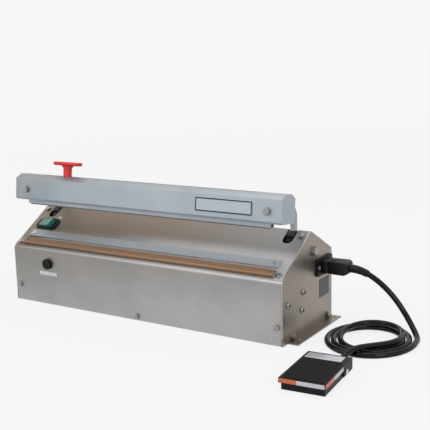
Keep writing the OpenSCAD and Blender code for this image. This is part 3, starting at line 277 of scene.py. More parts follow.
def start_material(name, colour, metallic=0.0, roughness=0.5, **sockets):
    """A material with its shader set; returns it with its tree, its shader and the object coordinates."""
    material = bpy.data.materials.new(name)
    material.use_nodes = True
    shader = material.node_tree.nodes["Principled BSDF"]
    values = {"Base Color": linear(colour), "Metallic": metallic, "Roughness": roughness, **sockets}
    for socket, value in values.items():
        shader.inputs[socket].default_value = value
    add(material.node_tree, "ShaderNodeTexCoord")
    return material, *opened(material)


def vary(shader, factor, colours, roughness, bump):
    """Lets a pattern drive the colour, the roughness and the relief (strength, depth in mm)."""
    tree = shader.id_data
    ramp = add(tree, "ShaderNodeValToRGB", {"Fac": factor})
    for element, position, code in zip(ramp.color_ramp.elements, (PATTERN_LOW, PATTERN_HIGH), colours):
        element.position, element.color = position, linear(code)
    tree.links.new(ramp.outputs["Color"], shader.inputs["Base Color"])
    span = add(tree, "ShaderNodeMapRange", {
        "Value": factor, "From Min": PATTERN_LOW, "From Max": PATTERN_HIGH, "To Min": roughness[0],
        "To Max": roughness[1]})
    tree.links.new(span.outputs["Result"], shader.inputs["Roughness"])
    relief = add(tree, "ShaderNodeBump", {"Height": factor, "Strength": bump[0], "Distance": bump[1] * MM})
    tree.links.new(relief.outputs["Normal"], shader.inputs["Normal"])


def tint(shader, share, colour, blend="MULTIPLY"):
    """Multiplies the colour that the shader has by another one, or mixes that in, by a share from 0 to 1."""
    tree = shader.id_data
    base = shader.inputs["Base Color"].links[0].from_socket
    mixed = add(tree, "ShaderNodeMix", {0: share, 6: base, 7: (*colour[:3], 1)}, data_type="RGBA",
                blend_type=blend)
    tree.links.new(mixed.outputs[2], shader.inputs["Base Color"])


def ramp_along(coords, direction, start, end, shape="SMOOTHSTEP"):
    """0 to 1 along a direction, between two distances from the origin in millimetres."""
    tree = coords.id_data
    along = add(tree, "ShaderNodeVectorMath", {0: coords, 1: direction}, operation="DOT_PRODUCT")
    return add(tree, "ShaderNodeMapRange", {"Value": along.outputs["Value"], "From Min": start * MM,
                                            "From Max": end * MM}, interpolation_type=shape).outputs[0]


def ramp_up_deck(coords, start, end):
    """0 to 1 up the deck or down it, between two distances from its front edge in millimetres."""
    up = DECK.to_3x3() @ REARWARD
    foot = up.dot(DECK.translation)
    way = 1 if end > start else -1
    return ramp_along(coords, way * up, way * (foot + start), way * (foot + end))


def facing(tree, direction, start, end):
    """0 to 1 as the faces turn towards a direction, between two cosines."""
    normal = add(tree, "ShaderNodeNewGeometry").outputs["True Normal"]
    towards = add(tree, "ShaderNodeVectorMath", {0: normal, 1: direction}, operation="DOT_PRODUCT")
    return add(tree, "ShaderNodeMapRange", {"Value": towards.outputs["Value"], "From Min": start,
                                            "From Max": end}).outputs[0]


def joined(operation, first, *others):
    """Shares of a surface joined one after another, as their product or the largest of them."""
    for other in others:
        first = add(first.id_data, "ShaderNodeMath", {0: first, 1: other}, operation=operation).outputs[0]
    return first


def drawn_lines(coords, sizes, breakup=0.5):
    """A noise drawn out into lines, from its size along each axis in millimetres."""
    tree = coords.id_data
    stretched = add(tree, "ShaderNodeMapping", {"Vector": coords, "Scale": [1000 / size for size in sizes]})
    return add(tree, "ShaderNodeTexNoise", {"Vector": stretched.outputs[0], "Scale": 1.0, "Detail": 3.0,
                                            "Roughness": breakup}).outputs["Fac"]


def brushed_metal(name, colours, roughness, along, grain, share=0.35, relief=0.02):
    """Metal with brush marks: grain mm wide, 40 times as long, over slow clouds of tone in the sheet."""
    material, tree, shader, coords = start_material(name, colours[0], metallic=1.0)
    sizes = [grain * BRUSH_LENGTH if axis == along else grain for axis in "XYZ"]
    streaks = drawn_lines(coords, sizes, 0.6)
    clouds = add(tree, "ShaderNodeTexNoise", {"Vector": coords, "Scale": 1000 / SHEET_CLOUD, "Detail": 2.0})
    both = add(tree, "ShaderNodeMix", {0: share, 2: clouds.outputs["Fac"], 3: streaks})
    vary(shader, both.outputs[0], colours, roughness, (0.5, relief))
    return material


def grained(name, colours, roughness, grit, bump, detail=2.0, breakup=0.5, **sockets):
    """A material with an even grain or ripple, grit mm across."""
    material, tree, shader, coords = start_material(name, colours[0], **sockets)
    grains = add(tree, "ShaderNodeTexNoise", {"Vector": coords, "Scale": 1000 / grit, "Detail": detail,
                                              "Roughness": breakup})
    vary(shader, grains.outputs["Fac"], colours, roughness, bump)
    return material


def moulded_plastic(name, colours, roughness, grit, relief, gloss=0.5):
    """Moulded plastic or rubber: an even spark-eroded grit."""
    return grained(name, colours, roughness, grit, (0.6, relief), breakup=0.55,
                   **{"Specular IOR Level": gloss})


def printed_vinyl(name, colours, roughness, metallic=0.0):
    """Printed plate or sticker: an even coat with an orange-peel ripple 2 mm across."""
    return grained(name, colours, roughness, 2.0, (0.15, 0.02), detail=1.5, metallic=metallic)


# Where tones change, in mm: leftwards or rightwards from the middle, up the deck from its front edge, or down
# it where the first number is the larger one. A stretch is leftwards, up, and up on the left.

# The deck's painted reflections: a dark stretch and a brown stretch
DARK_REFLECTION_STRETCH, DARK_REFLECTION_TINT = ((-60, 90), (38, 66), (20, 54)), (0.42, 0.42, 0.42)
BROWN_REFLECTION_STRETCH, BROWN_REFLECTION_TINT = ((40, 160), (46, 64), (28, 46)), (1.0, 0.83, 0.67)
BROWN_REFLECTION_FADE, DECK_START, EDGE_LEFT = (-260, 60), (-3, 3), (190, 240)
STRIP_LEFT, STRIP_DOWN = (-80, 250), (24, 12)
# Painted shade on the front panel, deepest towards its upper left
FRONT_DOWN, FRONT_SHADE_TINT = (9, -3), (0.54, 0.53, 0.515)
UPPER_LEFT, UPPER_REACH, UPPER_LEFT_SHADE_TINT = Vector((-0.12, 0, 1)).normalized(), (0, 110), (0.73, 0.72, 0.70)
# Painted shade: the bar darker leftwards
BAR_LEFT, BAR_LEFT_SHADE_TINT = (0, 250), (0.79, 0.78, 0.77)
# Painted shade: the pole strip darker leftwards
POLE_LEFT, POLE_SHADE_TINT = (30, 225), (0.68, 0.67, 0.66)
# Painted highlight along the cloth's front lip, stronger rightwards
SHEEN_UP, SHEEN_DOWN, SHEEN_RIGHT, SHEEN_TINT = (7.6, 9.2), (10.8, 9.4), (-300, 120), (1.6, 1.8, 2.1)
# Painted shade: the cloth darker leftwards
CLOTH_LEFT, CLOTH_SHADE_TINT = (0, 250), (0.8, 0.8, 0.8)
CUT_EDGE_UP = (10, 14)

# Which faces count as a top or a cut edge, as cosines

# Painted light: the bar's top faces are painted warmer
BAR_TOP, BAR_TOP_LIGHT_TINT = (0.4, 0.8), (1.0, 0.96, 0.92)
# Painted highlight on the rocker's top
ROCKER_TOP, ROCKER_TOP_HIGHLIGHT = (0.8, 0.97), "#6a9488"
# Painted highlight on the end plates' cut edges
CUT_EDGE, EDGE_HIGHLIGHT_COLOUR = (0.95, 0.6), "#aeaca8"


def deck_sheet_painted_reflections():
    """The deck's brushed stainless with painted reflections: bright at the seal, dark behind it, brown on the
    left.
    """
    material = brushed_metal("stainless_sheet_painted_reflections", ("#d7d7d8", "#edecee"), (0.44, 0.54), "X", 1.1)
    tree, shader, coords = opened(material)
    # The painted dark and brown reflections start lower down the deck on the left
    dull, brown = [
        add(tree, "ShaderNodeMix", {0: ramp_along(coords, LEFT, *leftwards),
                                    2: ramp_up_deck(coords, *up),
                                    3: ramp_up_deck(coords, *up_left)}).outputs[0]
        for leftwards, up, up_left in (DARK_REFLECTION_STRETCH, BROWN_REFLECTION_STRETCH)]
    brown = joined("MULTIPLY", brown, ramp_along(coords, LEFT, *BROWN_REFLECTION_FADE))
    # Both take in the left edge, and the painted dark reflection also the strip before the seal, as the
    # seal's painted shade
    on_deck = ramp_up_deck(coords, *DECK_START)
    edge = joined("MULTIPLY", ramp_along(coords, LEFT, *EDGE_LEFT), on_deck)
    strip = joined("MULTIPLY", ramp_along(coords, LEFT, *STRIP_LEFT, "LINEAR"),
                   ramp_up_deck(coords, *STRIP_DOWN), on_deck)
    # dull is the painted dark reflection, brown the painted brown reflection
    tint(shader, joined("MAXIMUM", dull, edge, strip), DARK_REFLECTION_TINT)
    tint(shader, joined("MAXIMUM", brown, edge), BROWN_REFLECTION_TINT)
    # The front panel is as brushed, with painted shade over it, deepest towards its upper left
    tint(shader, ramp_up_deck(coords, *FRONT_DOWN), FRONT_SHADE_TINT)
    tint(shader, ramp_along(coords, UPPER_LEFT, *UPPER_REACH), UPPER_LEFT_SHADE_TINT)
    return material


def anodised_bar():
    """Anodised extrusion: pale blue-grey satin with faint drawing lines; painted light warms its top, painted
    shade darkens it leftwards.
    """
    material = brushed_metal("aluminium_anodised_satin", ("#9da5ac", "#adb5bc"), (0.42, 0.48), "X", 1.6,
                             share=0.3, relief=0.008)
    tree, shader, coords = opened(material)
    # Painted light on the top faces, painted shade leftwards
    tint(shader, facing(tree, JAW.to_3x3() @ UP, *BAR_TOP), BAR_TOP_LIGHT_TINT)
    tint(shader, ramp_along(coords, LEFT, *BAR_LEFT, "LINEAR"), BAR_LEFT_SHADE_TINT)
    return material


def edged_plate():
    """End plates: stainless brushed upwards, a little browner than the sheet, with a painted highlight on the
    cut edges.
    """
    material = brushed_metal("stainless_plate_brushed", ("#898077", "#9f978f"), (0.32, 0.42), "Z", 1.1)
    tree, shader, coords = opened(material)
    normal = add(tree, "ShaderNodeNewGeometry").outputs["Normal"]
    sideways = add(tree, "ShaderNodeVectorMath", {0: normal, 1: RIGHT}, operation="DOT_PRODUCT")
    flat = add(tree, "ShaderNodeMath", {0: sideways.outputs["Value"]}, operation="ABSOLUTE")
    edge = add(tree, "ShaderNodeMapRange", {"Value": flat.outputs[0], "From Min": CUT_EDGE[0],
                                            "From Max": CUT_EDGE[1]}).outputs[0]
    share = joined("MULTIPLY", edge, ramp_along(coords, UP, *CUT_EDGE_UP))
    # A painted highlight on the cut edges
    tint(shader, share, linear(EDGE_HIGHLIGHT_COLOUR), "MIX")
    return material


def galvanised_steel():
    """Hot-dip zinc, blasted: a light grey speckle 1.1 mm across over a finer dust, with painted shade
    deepening leftwards.
    """
    material, tree, shader, coords = start_material("steel_galvanised_blasted", "#a6a9ac", metallic=1.0)
    spangle = add(tree, "ShaderNodeTexVoronoi", {"Vector": coords, "Scale": 1000 / 1.1})
    tone = add(tree, "ShaderNodeSeparateColor", {"Color": spangle.outputs["Color"]})
    grain = add(tree, "ShaderNodeTexNoise", {"Vector": coords, "Scale": 1000 / 0.7, "Detail": 3.0})
    both = add(tree, "ShaderNodeMix", {0: 0.85, 2: tone.outputs["Red"], 3: grain.outputs["Fac"]})
    vary(shader, both.outputs[0], ("#9ea2a6", "#c5c9cd"), (0.42, 0.58), (0.3, 0.02))
    # Painted shade, deeper leftwards
    tint(shader, ramp_along(coords, LEFT, *POLE_LEFT, "LINEAR"), POLE_SHADE_TINT)
    return material


def coated_glass_cloth():
    """Brown fluoropolymer-coated glass cloth: fibres 0.8 mm apart, drawn lengthwise, under a waxy coat."""
    material, tree, shader, coords = start_material("glass_cloth_coated", "#8a6244",
                                                    **{"Specular IOR Level": 0.4})
    fine, coarse = [drawn_lines(coords, (length, width, width)) for width, length in ((0.8, 90), (2.6, 260))]
    both = add(tree, "ShaderNodeMix", {0: 0.45, 2: fine, 3: coarse})
    vary(shader, both.outputs[0], ("#704c34", "#9c7a5c"), (0.34, 0.48), (0.3, 0.06))
    # A painted highlight along the front lip, stronger rightwards
    lip_sheen = joined("MULTIPLY", ramp_up_deck(coords, *SHEEN_UP), ramp_up_deck(coords, *SHEEN_DOWN),
                  ramp_along(coords, RIGHT, *SHEEN_RIGHT, "LINEAR"))
    tint(shader, lip_sheen, SHEEN_TINT)
    # Painted shade, deeper leftwards
    tint(shader, ramp_along(coords, LEFT, *CLOTH_LEFT, "LINEAR"), CLOTH_SHADE_TINT)
    return material


def green_rocker_with_highlight():
    """Clear green polycarbonate over a lamp: deep green sides and a glossy top with pale highlights painted
    on it.
    """
    material, tree, shader, coords = start_material(
        "polycarbonate_green", "#1f7f62", roughness=0.16, **{"Transmission Weight": 0.1, "IOR": 1.58})
    swirl = add(tree, "ShaderNodeTexNoise", {"Vector": coords, "Scale": 1000 / 7, "Detail": 2.0}).outputs[0]
    vary(shader, swirl, ("#2a7d6b", "#459a87"), (0.12, 0.22), (0.1, 0.05))
    top = facing(tree, DECK.to_3x3() @ UP, *ROCKER_TOP)
    # A painted highlight: pale streaks on the top faces
    tint(shader, joined("MULTIPLY", top, swirl), linear(ROCKER_TOP_HIGHLIGHT), "MIX")
    return material


def copper_winding():
    """Enamelled copper wire: bands around the core, drawn 5.03 mm apart so that they show."""
    material, tree, shader, coords = start_material("copper_wire_enamelled", "#9a5a2c", metallic=0.9)
    turns = add(tree, "ShaderNodeTexWave", {"Vector": coords, "Scale": WAVE_PERIOD * 1000 / 5.03},
                bands_direction="Z")
    vary(shader, turns.outputs["Fac"], ("#7d4520", "#b9733c"), (0.3, 0.45), (0.5, 0.2))
    return material


BAR = anodised_bar()
DECK_SHEET = deck_sheet_painted_reflections()
PLATE = edged_plate()
GALVANISED = galvanised_steel()
CLOTH = coated_glass_cloth()
GREEN = green_rocker_with_highlight()
COPPER = copper_winding()
# Stainless sheet, brushed along the casing: soft grey with fine lines; grain drawn at 1.1 mm so that it shows
SHEET = brushed_metal("stainless_sheet_brushed", ("#989795", "#b1b0ae"), (0.42, 0.52), "X", 1.1, share=0.5)
# The strip holder's extrusion, anodised darker
HOLDER = brushed_metal("aluminium_anodised_holder", ("#93999f", "#a6acb2"), (0.38, 0.46), "X", 1.2,
                       relief=0.01)
# Machined steel, drawn bright
STEEL = brushed_metal("steel_drawn_bright", ("#908f8d", "#aba9a5"), (0.30, 0.40), "Z", 0.8)
# Resistance alloy band and its clamps, rolled
BAND = brushed_metal("alloy_band_rolled", ("#9b9a96", "#b3b2ae"), (0.25, 0.35), "X", 0.8)
# Zinc on bolts gone dull with handling: soft glints under a faint haze 4 mm across
ZINC = grained("zinc_plate_dulled", ("#8b8c8b", "#a5a6a4"), (0.26, 0.36), 4.0, (0.1, 0.01), detail=3.0,
               metallic=1.0)
# Bright zinc of the small screws and the pedal's pin
SCREW = brushed_metal("zinc_plate_bright", ("#b4b5b5", "#d0d1d1"), (0.24, 0.34), "X", 0.8)
# Eyelets of the seal cover: brass gone brown with heat
EYELET = brushed_metal("brass_eyelet_browned", ("#665a4b", "#7a6d5c"), (0.40, 0.50), "Z", 0.8)
# Die-cast housing of the motor and the potentiometer: dull and even
CAST = brushed_metal("zinc_die_cast", ("#6f7275", "#84878a"), (0.45, 0.55), "Z", 2.0, share=0.2)
# Plain iron of the magnet cores and the transformer, with a dark scale; it also lines the motor screws'
# sockets as painted shade
IRON = brushed_metal("iron_dark_scale", ("#3a3b3d", "#4b4c4e"), (0.5, 0.65), "X", 0.9, share=0.5)
# Nylon and ABS mouldings in black: a fine matt grit that catches a soft sheen
BLACK = moulded_plastic("nylon_moulded_black", ("#08080a", "#121315"), (0.42, 0.56), 0.7, 0.05, 0.22)
# The slot guards: black acetal, matt from wear
GUARD = moulded_plastic("acetal_matt_black", ("#0d0d0f", "#151518"), (0.40, 0.52), 2.0, 0.01, 0.3)
# Vinyl of the lead, its boot and the pedal's gland: smoother, with a soft gloss
VINYL = moulded_plastic("vinyl_extruded_black", ("#040406", "#08080b"), (0.20, 0.28), 1.6, 0.01, 0.22)
# The plug's moulded rubber: duller than the lead
PLUG_RUBBER = moulded_plastic("rubber_moulded_plug", ("#060607", "#0d0d0f"), (0.38, 0.50), 0.9, 0.04, 0.3)
# The pedal's moulded shell and its pebbled mat
PEDAL_BLACK = moulded_plastic("abs_moulded_pedal", ("#08080a", "#111214"), (0.40, 0.54), 0.9, 0.06, 0.22)
MAT = moulded_plastic("rubber_pebbled_mat", ("#09090b", "#131316"), (0.55, 0.70), 1.3, 0.05, 0.2)
# Red ABS of the cutter knob: bright, lightly glossy
RED = moulded_plastic("abs_moulded_red", ("#e63a38", "#f04845"), (0.34, 0.44), 1.2, 0.02, 0.3)
# Grey silicone of the pressure strip
SILICONE = moulded_plastic("silicone_moulded_grey", ("#6f6f6d", "#82827f"), (0.55, 0.68), 1.0, 0.03)
# Circuit board lacquer
BOARD = moulded_plastic("board_lacquer_green", ("#0f4a24", "#176233"), (0.3, 0.45), 3.0, 0.03)
# Blank plates and stickers: printed vinyl, or foil where it shines
NAME_FACE = printed_vinyl("vinyl_plate_silver_grey", ("#ccd6e1", "#d1dbe5"), (0.30, 0.38))
PRINT_BLACK = printed_vinyl("ink_black", ("#0c0c0e", "#161618"), (0.32, 0.42))
RATING = printed_vinyl("foil_plate_graphite", ("#404042", "#525254"), (0.30, 0.42), metallic=0.5)
WHITE = printed_vinyl("vinyl_sticker_white", ("#ececee", "#f6f6f7"), (0.35, 0.45))
ORANGE = printed_vinyl("vinyl_sticker_orange", ("#df6a46", "#ec7f58"), (0.30, 0.40))
FOIL = printed_vinyl("foil_sticker_silver", ("#bfc2c8", "#d2d5da"), (0.28, 0.40), metallic=0.55)
CLEAR = printed_vinyl("vinyl_sticker_frosted", ("#b9b4aa", "#ccc8bf"), (0.35, 0.5))


# The lead: one length from the plug, down to the floor, through its coil and on to the pedal

CORD_D, LEAD_LENGTH, LEAD_FINENESS = 8.2, 1.271, 5
COIL_X, COIL_Y, COIL_RX, COIL_RY = 345.0, -2.0, 62.0, 68.0
COIL_START, LOOPS, LOOP_PITCH = 10.0, 3, 9.0
TURN_BACK, CLIMB, LAYER_STEP = 2.5, 0.5, CORD_D + 0.6
COIL_STEPS, SPAN_STEPS = 48, 5
GLAND = Vector((11.0, 55.6, 6.2))
DROP = [(292, 49, 87), (299, 49, 87), (310, 49, 85.4), (321, 49.4, 81.4), (332, 50.2, 75), (343, 51.4, 66.6),
        (353.6, 52.8, 56.4), (363.4, 54, 44.8), (372.4, 54, 32.8), (381, 51.6, 22), (389, 46.4, 13.4),
        (395.6, 39.8, 8.2), (400.6, 32.4, 5)]
TAIL = [(390.2, -12, 12.9), (387.6, -22.4, 13.3), (381.6, -33, 13.3), (372.6, -43.4, 13.3),
        (362.4, -54, 13.3), (354, -65, 13.3), (348.6, -75, 12.6), (345.8, -84.6, 10)]
# The boot's radius at distances from the plug
BOOT_OUTLINE = [(0.0, 5.6), (0.4, 6.1), (1.0, 6.3), (10.0, 6.0), (20.0, 5.6), (28.6, 5.2), (29.4, 5.0),
                (29.8, 4.6)]
BOOT_SIDES, BOOT_STEP, BOOT_STEPS = 32, 2.0, 14
# The plug's sections: place along x, half sizes along y and z, corner radius
PLUG_Y, PLUG_Z = 49, 87
PLUG_SECTIONS = [
    (238.5, 10.8, 7.0, 1.2), (253.6, 10.8, 7.0, 1.2), (253.8, 12.9, 9.4, 1.4), (254.4, 13.4, 9.9, 1.5),
    (260.6, 13.4, 9.9, 1.5), (261.4, 12.9, 9.4, 1.5), (261.8, 12.5, 9.1, 1.5), (263.2, 12.4, 9.0, 1.5),
    (263.8, 12.7, 9.3, 1.5), (287.4, 13.1, 9.7, 1.5), (290.0, 12.2, 8.9, 1.6), (292.4, 10.4, 7.6, 1.8),
    (293.2, 9.6, 7.0, 1.8), (293.6, 8.2, 6.2, 1.8)]


def coil_point(t):
    """The coil after t turns: it winds inwards, climbs to a second layer and winds out again."""
    angle = math.radians(COIL_START - 360 * t)
    shrink = LOOP_PITCH * (t if t < TURN_BACK else 2 * TURN_BACK - t)
    k = min(1.0, max(0.0, (t - TURN_BACK + CLIMB / 2) / CLIMB))
    return Vector((COIL_X + (COIL_RX - shrink) * math.cos(angle),
                   COIL_Y + (COIL_RY - shrink) * math.sin(angle),
                   CORD_D / 2 + LAYER_STEP * k * k * (3 - 2 * k)))


def walked(route, at):
    """The point of a route at a distance from its start, and the direction there."""
    for a, b in zip(route, route[1:]):
        length = (b - a).length
        if at <= length:
            break
        at -= length
    return a + (b - a) * (at / length), (b - a).normalized()


def relaxed(points, step=2.5, passes=16):
    """The route at even steps, with its kinks eased; both ends stay."""
    length = sum((b - a).length for a, b in zip(points, points[1:]))
    even = [walked(points, k * step)[0] for k in range(int(length / step) + 1)]
    even[-1] = points[-1]
    for _ in range(passes):
        even = [even[0]] + [(a + 2 * b + c) / 4 for a, b, c in zip(even, even[1:], even[2:])] + [even[-1]]
    return even


def lead_route():
    small = 0.001
    way_in = (coil_point(small) - coil_point(0)).normalized()
    way_out = (coil_point(LOOPS) - coil_point(LOOPS - small)).normalized()
    mouth = PEDAL @ GLAND
    outward = (PEDAL.to_3x3() @ REARWARD) * CORD_D
    coil = [coil_point(i / COIL_STEPS) for i in range(COIL_STEPS * LOOPS + 1)]
    drop = spline(DROP + [coil[0] - 2 * CORD_D * way_in, coil[0] - CORD_D * way_in, coil[0]], SPAN_STEPS)
    tail = spline([coil[-1], coil[-1] + CORD_D * way_out, coil[-1] + 1.5 * CORD_D * way_out]
                  + TAIL + [mouth + outward, mouth], SPAN_STEPS)
    return relaxed(drop[:-1] + coil + tail[1:])


def make_lead(route):
    data = bpy.data.curves.new("pedal_lead", "CURVE")
    data.dimensions, data.bevel_depth, data.bevel_resolution = "3D", CORD_D / 2 * MM, LEAD_FINENESS
    data.use_fill_caps = True
    line = data.splines.new("POLY")
    line.points.add(len(route) - 1)
    for point, place in zip(line.points, route):
        point.co = (*(place * MM), 1)
    line.use_smooth = True
    data.materials.append(VINYL)
    lead = bpy.data.objects.new("pedal_lead", data)
    scene.collection.objects.link(lead)
    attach(lead, "root")
    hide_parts("lead_drop", "lead_coil", "lead_tail")
    return lead


def make_boot(route):
    """Smooth sleeve that tapers along the first stretch of the lead and ends in a small step."""
    rings = []
    for at in sorted({at for at, _ in BOOT_OUTLINE} | {BOOT_STEP * (k + 1) for k in range(BOOT_STEPS)}):
        spans = zip(BOOT_OUTLINE, BOOT_OUTLINE[1:])
        (low, r0), (high, r1) = next(span for span in spans if span[0][0] <= at <= span[1][0])
        radius = r0 + (r1 - r0) * (at - low) / (high - low)
        centre, ahead = walked(route, at)
        across = ahead.cross(UP).normalized()
        up = across.cross(ahead)
        rings.append([centre + radius * (c * across + s * up) for c, s in circle(BOOT_SIDES)])
    boot = piece("plug_boot_sleeve", *loft(rings), VINYL)
    smooth_by_angle(boot, angle=50)
    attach(boot, "root")
    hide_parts("plug_boot")
    return boot


def make_plug():
    """Moulded plug: a collar at the inlet, a shallow waist and a square body that closes in on the boot."""
    rings = [[(x, PLUG_Y + a, PLUG_Z + b) for a, b in rounded_outline(half_y, half_z, corner)]
             for x, half_y, half_z, corner in PLUG_SECTIONS]
    plug = piece("lead_plug_moulded", *loft(rings), PLUG_RUBBER)
    smooth_by_angle(plug, angle=30)
    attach(plug, "root")
    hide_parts("lead_plug")
    return plug


route = lead_route()
lead = make_lead(route)
boot = make_boot(route)
plug = make_plug()


# Geometry Nodes: bolts on their places, rings and rows of ribs, and pebbles. Float inputs are lengths.

# A hexagon's corner, and the cone of 30 degrees that turns its corners off, as shares of the width across
# flats; the cone ends a little above the head
HEX_CORNER, CONE_TOP, CONE_LOW, CONE_DEPTH, CONE_SIDES, CONE_LIFT = 0.57735, 0.475, 1.341, 0.5, 40, 0.03
RING_SIDES, ROW_SIDES = 10, 12
PEBBLE_DRIFT, PEBBLE_FLAT, PEBBLE_SMALL, PEBBLE_LARGE, FULL_TURN = 0.35, 0.45, 0.8, 1.1, 6.28


def named(label):
    """The name of a tree's input, from its keyword."""
    return label.replace("_", " ").capitalize()


def new_tree(name, **inputs):
    """A geometry tree with named inputs; returns it with its group input's sockets and its output node."""
    tree = bpy.data.node_groups.new(name, "GeometryNodeTree")
    tree.interface.new_socket("Geometry", in_out="OUTPUT", socket_type="NodeSocketGeometry")
    for label, kind in {"geometry": "Geometry", **inputs, "material": "Material"}.items():
        tree.interface.new_socket(named(label), in_out="INPUT", socket_type="NodeSocket" + kind)
    return tree, add(tree, "NodeGroupInput").outputs, add(tree, "NodeGroupOutput")


def place_copies(tree, given, out, points, instance, **pose):
    """Ends a tree: a real copy of the instance on each point, in the given material."""
    copies = add(tree, "GeometryNodeInstanceOnPoints", {"Points": points, "Instance": instance, **pose})
    real = add(tree, "GeometryNodeRealizeInstances", {"Geometry": copies.outputs[0]})
    dressed = add(tree, "GeometryNodeSetMaterial",
                  {"Geometry": real.outputs[0], "Material": given["Material"]})
    tree.links.new(dressed.outputs[0], out.inputs[0])
    return tree


def hex_bolt_tree():
    """Hexagon heads with turned chamfers, each turned at random, on points that say where they face."""
    tree, given, out = new_tree("hex_bolt_heads", across_flats="Float", height="Float", seed="Int")
    flats, height = given["Across flats"], given["Height"]
    corner, half, top_r, low_r, depth = [
        add(tree, "ShaderNodeMath", {0: size, 1: share}, operation="MULTIPLY").outputs[0]
        for size, share in ((flats, HEX_CORNER), (height, 0.5), (flats, CONE_TOP), (flats, CONE_LOW),
                            (flats, CONE_DEPTH))]
    lift = add(tree, "ShaderNodeCombineXYZ", {"Z": half}).outputs[0]
    hexagon = add(tree, "GeometryNodeMeshCylinder", {"Vertices": 6, "Radius": corner, "Depth": height})
    prism = add(tree, "GeometryNodeTransform", {"Geometry": hexagon.outputs["Mesh"], "Translation": lift})
    down = add(tree, "ShaderNodeMath", {0: height, 1: depth}, operation="SUBTRACT").outputs[0]
    above = add(tree, "ShaderNodeMath", {0: down, 1: CONE_LIFT * MM}).outputs[0]
    sink = add(tree, "ShaderNodeCombineXYZ", {"Z": above}).outputs[0]
    cone = add(tree, "GeometryNodeMeshCone",
               {"Vertices": CONE_SIDES, "Radius Top": top_r, "Radius Bottom": low_r, "Depth": depth})
    turning = add(tree, "GeometryNodeTransform", {"Geometry": cone.outputs["Mesh"], "Translation": sink})
    head = add(tree, "GeometryNodeMeshBoolean", operation="INTERSECT", solver="EXACT")
    tree.links.new(prism.outputs[0], head.inputs["Mesh 2"])
    tree.links.new(turning.outputs[0], head.inputs["Mesh 2"])
    towards = add(tree, "GeometryNodeInputNamedAttribute", {"Name": "facing"}, data_type="FLOAT_VECTOR")
    stand = add(tree, "FunctionNodeAlignRotationToVector", {"Vector": towards.outputs["Attribute"]}, axis="Z")
    spin = add(tree, "FunctionNodeRandomValue", {2: 0.0, 3: math.pi / 3, "Seed": given["Seed"]},
               data_type="FLOAT")
    twist = add(tree, "FunctionNodeAxisAngleToRotation", {"Axis": UP, "Angle": spin.outputs[1]})
    turn = add(tree, "FunctionNodeRotateRotation",
               {"Rotation": stand.outputs[0], "Rotate By": twist.outputs[0]}, rotation_space="LOCAL")
    return place_copies(tree, given, out, given["Geometry"], head.outputs["Mesh"], Rotation=turn.outputs[0])


def rib_ring_tree():
    """Half-round ribs on a circle about Z, standing along Z."""
    tree, given, out = new_tree("rib_ring", count="Int", radius="Float", rib_radius="Float", length="Float")
    ring = add(tree, "GeometryNodeMeshCircle", {"Vertices": given["Count"], "Radius": given["Radius"]})
    rib = add(tree, "GeometryNodeMeshCylinder", {"Vertices": RING_SIDES, "Radius": given["Rib radius"],
                                                 "Depth": given["Length"]})
    return place_copies(tree, given, out, ring.outputs[0], rib.outputs["Mesh"])


def rib_row_tree():
    """Half-round ribs in a row along X, lying along Y."""
    tree, given, out = new_tree("rib_row", count="Int", spacing="Float", rib_radius="Float", length="Float")
    step = add(tree, "ShaderNodeCombineXYZ", {"X": given["Spacing"]}).outputs[0]
    row = add(tree, "GeometryNodeMeshLine", {"Count": given["Count"], "Offset": step})
    rib = add(tree, "GeometryNodeMeshCylinder", {"Vertices": ROW_SIDES, "Radius": given["Rib radius"],
                                                 "Depth": given["Length"]})
    return place_copies(tree, given, out, row.outputs[0], rib.outputs["Mesh"], Rotation=(math.pi / 2, 0, 0))


def pebble_tree():
    """Low pebbles on a grid, each a little moved, turned and scaled."""
    tree, given, out = new_tree("pebble_grid", size_x="Float", size_y="Float", count_x="Int", count_y="Int",
                                pebble_radius="Float", seed="Int")
    grid = add(tree, "GeometryNodeMeshGrid", {"Size X": given["Size x"], "Size Y": given["Size y"],
                                              "Vertices X": given["Count x"], "Vertices Y": given["Count y"]})
    shift = [add(tree, "ShaderNodeMath", {0: given["Pebble radius"], 1: k}, operation="MULTIPLY").outputs[0]
             for k in (-PEBBLE_DRIFT, PEBBLE_DRIFT)]
    low, high = [add(tree, "ShaderNodeCombineXYZ", {"X": s, "Y": s}).outputs[0] for s in shift]
    drift, spin = [add(tree, "FunctionNodeRandomValue", {0: least, 1: most, "Seed": given["Seed"]},
                       data_type="FLOAT_VECTOR").outputs[0]
                   for least, most in ((low, high), ((0, 0, 0), (0, 0, FULL_TURN)))]
    size = add(tree, "FunctionNodeRandomValue", {2: PEBBLE_SMALL, 3: PEBBLE_LARGE, "Seed": given["Seed"]},
               data_type="FLOAT").outputs[1]
    spread = add(tree, "GeometryNodeSetPosition", {"Geometry": grid.outputs["Mesh"], "Offset": drift})
    ball = add(tree, "GeometryNodeMeshIcoSphere", {"Radius": given["Pebble radius"], "Subdivisions": 2})
    low_ball = add(tree, "GeometryNodeTransform",
                   {"Geometry": ball.outputs["Mesh"], "Scale": (1, 1, PEBBLE_FLAT)})
    return place_copies(tree, given, out, spread.outputs[0], low_ball.outputs[0], Rotation=spin, Scale=size)


def grow(name, tree, material, place=Matrix(), mesh=None, **sizes):
    """Runs a tree with its named inputs, lengths in millimetres, and leaves a plain mesh in its place."""
    obj = link_object(name, bpy.data.meshes.new(name) if mesh is None else mesh)
    modifier = obj.modifiers.new("grow", "NODES")
    modifier.node_group = tree
    values = {named(label): value for label, value in sizes.items()}
    values["Material"] = material
    for item in tree.interface.items_tree:
        if item.in_out == "INPUT" and item.name in values:
            value = values[item.name]
            modifier[item.identifier] = value * MM if item.socket_type == "NodeSocketFloat" else value
    bake_modifiers(obj)
    obj.data.transform(Matrix.Translation(place.translation * MM) @ place.to_3x3().to_4x4())
    return obj


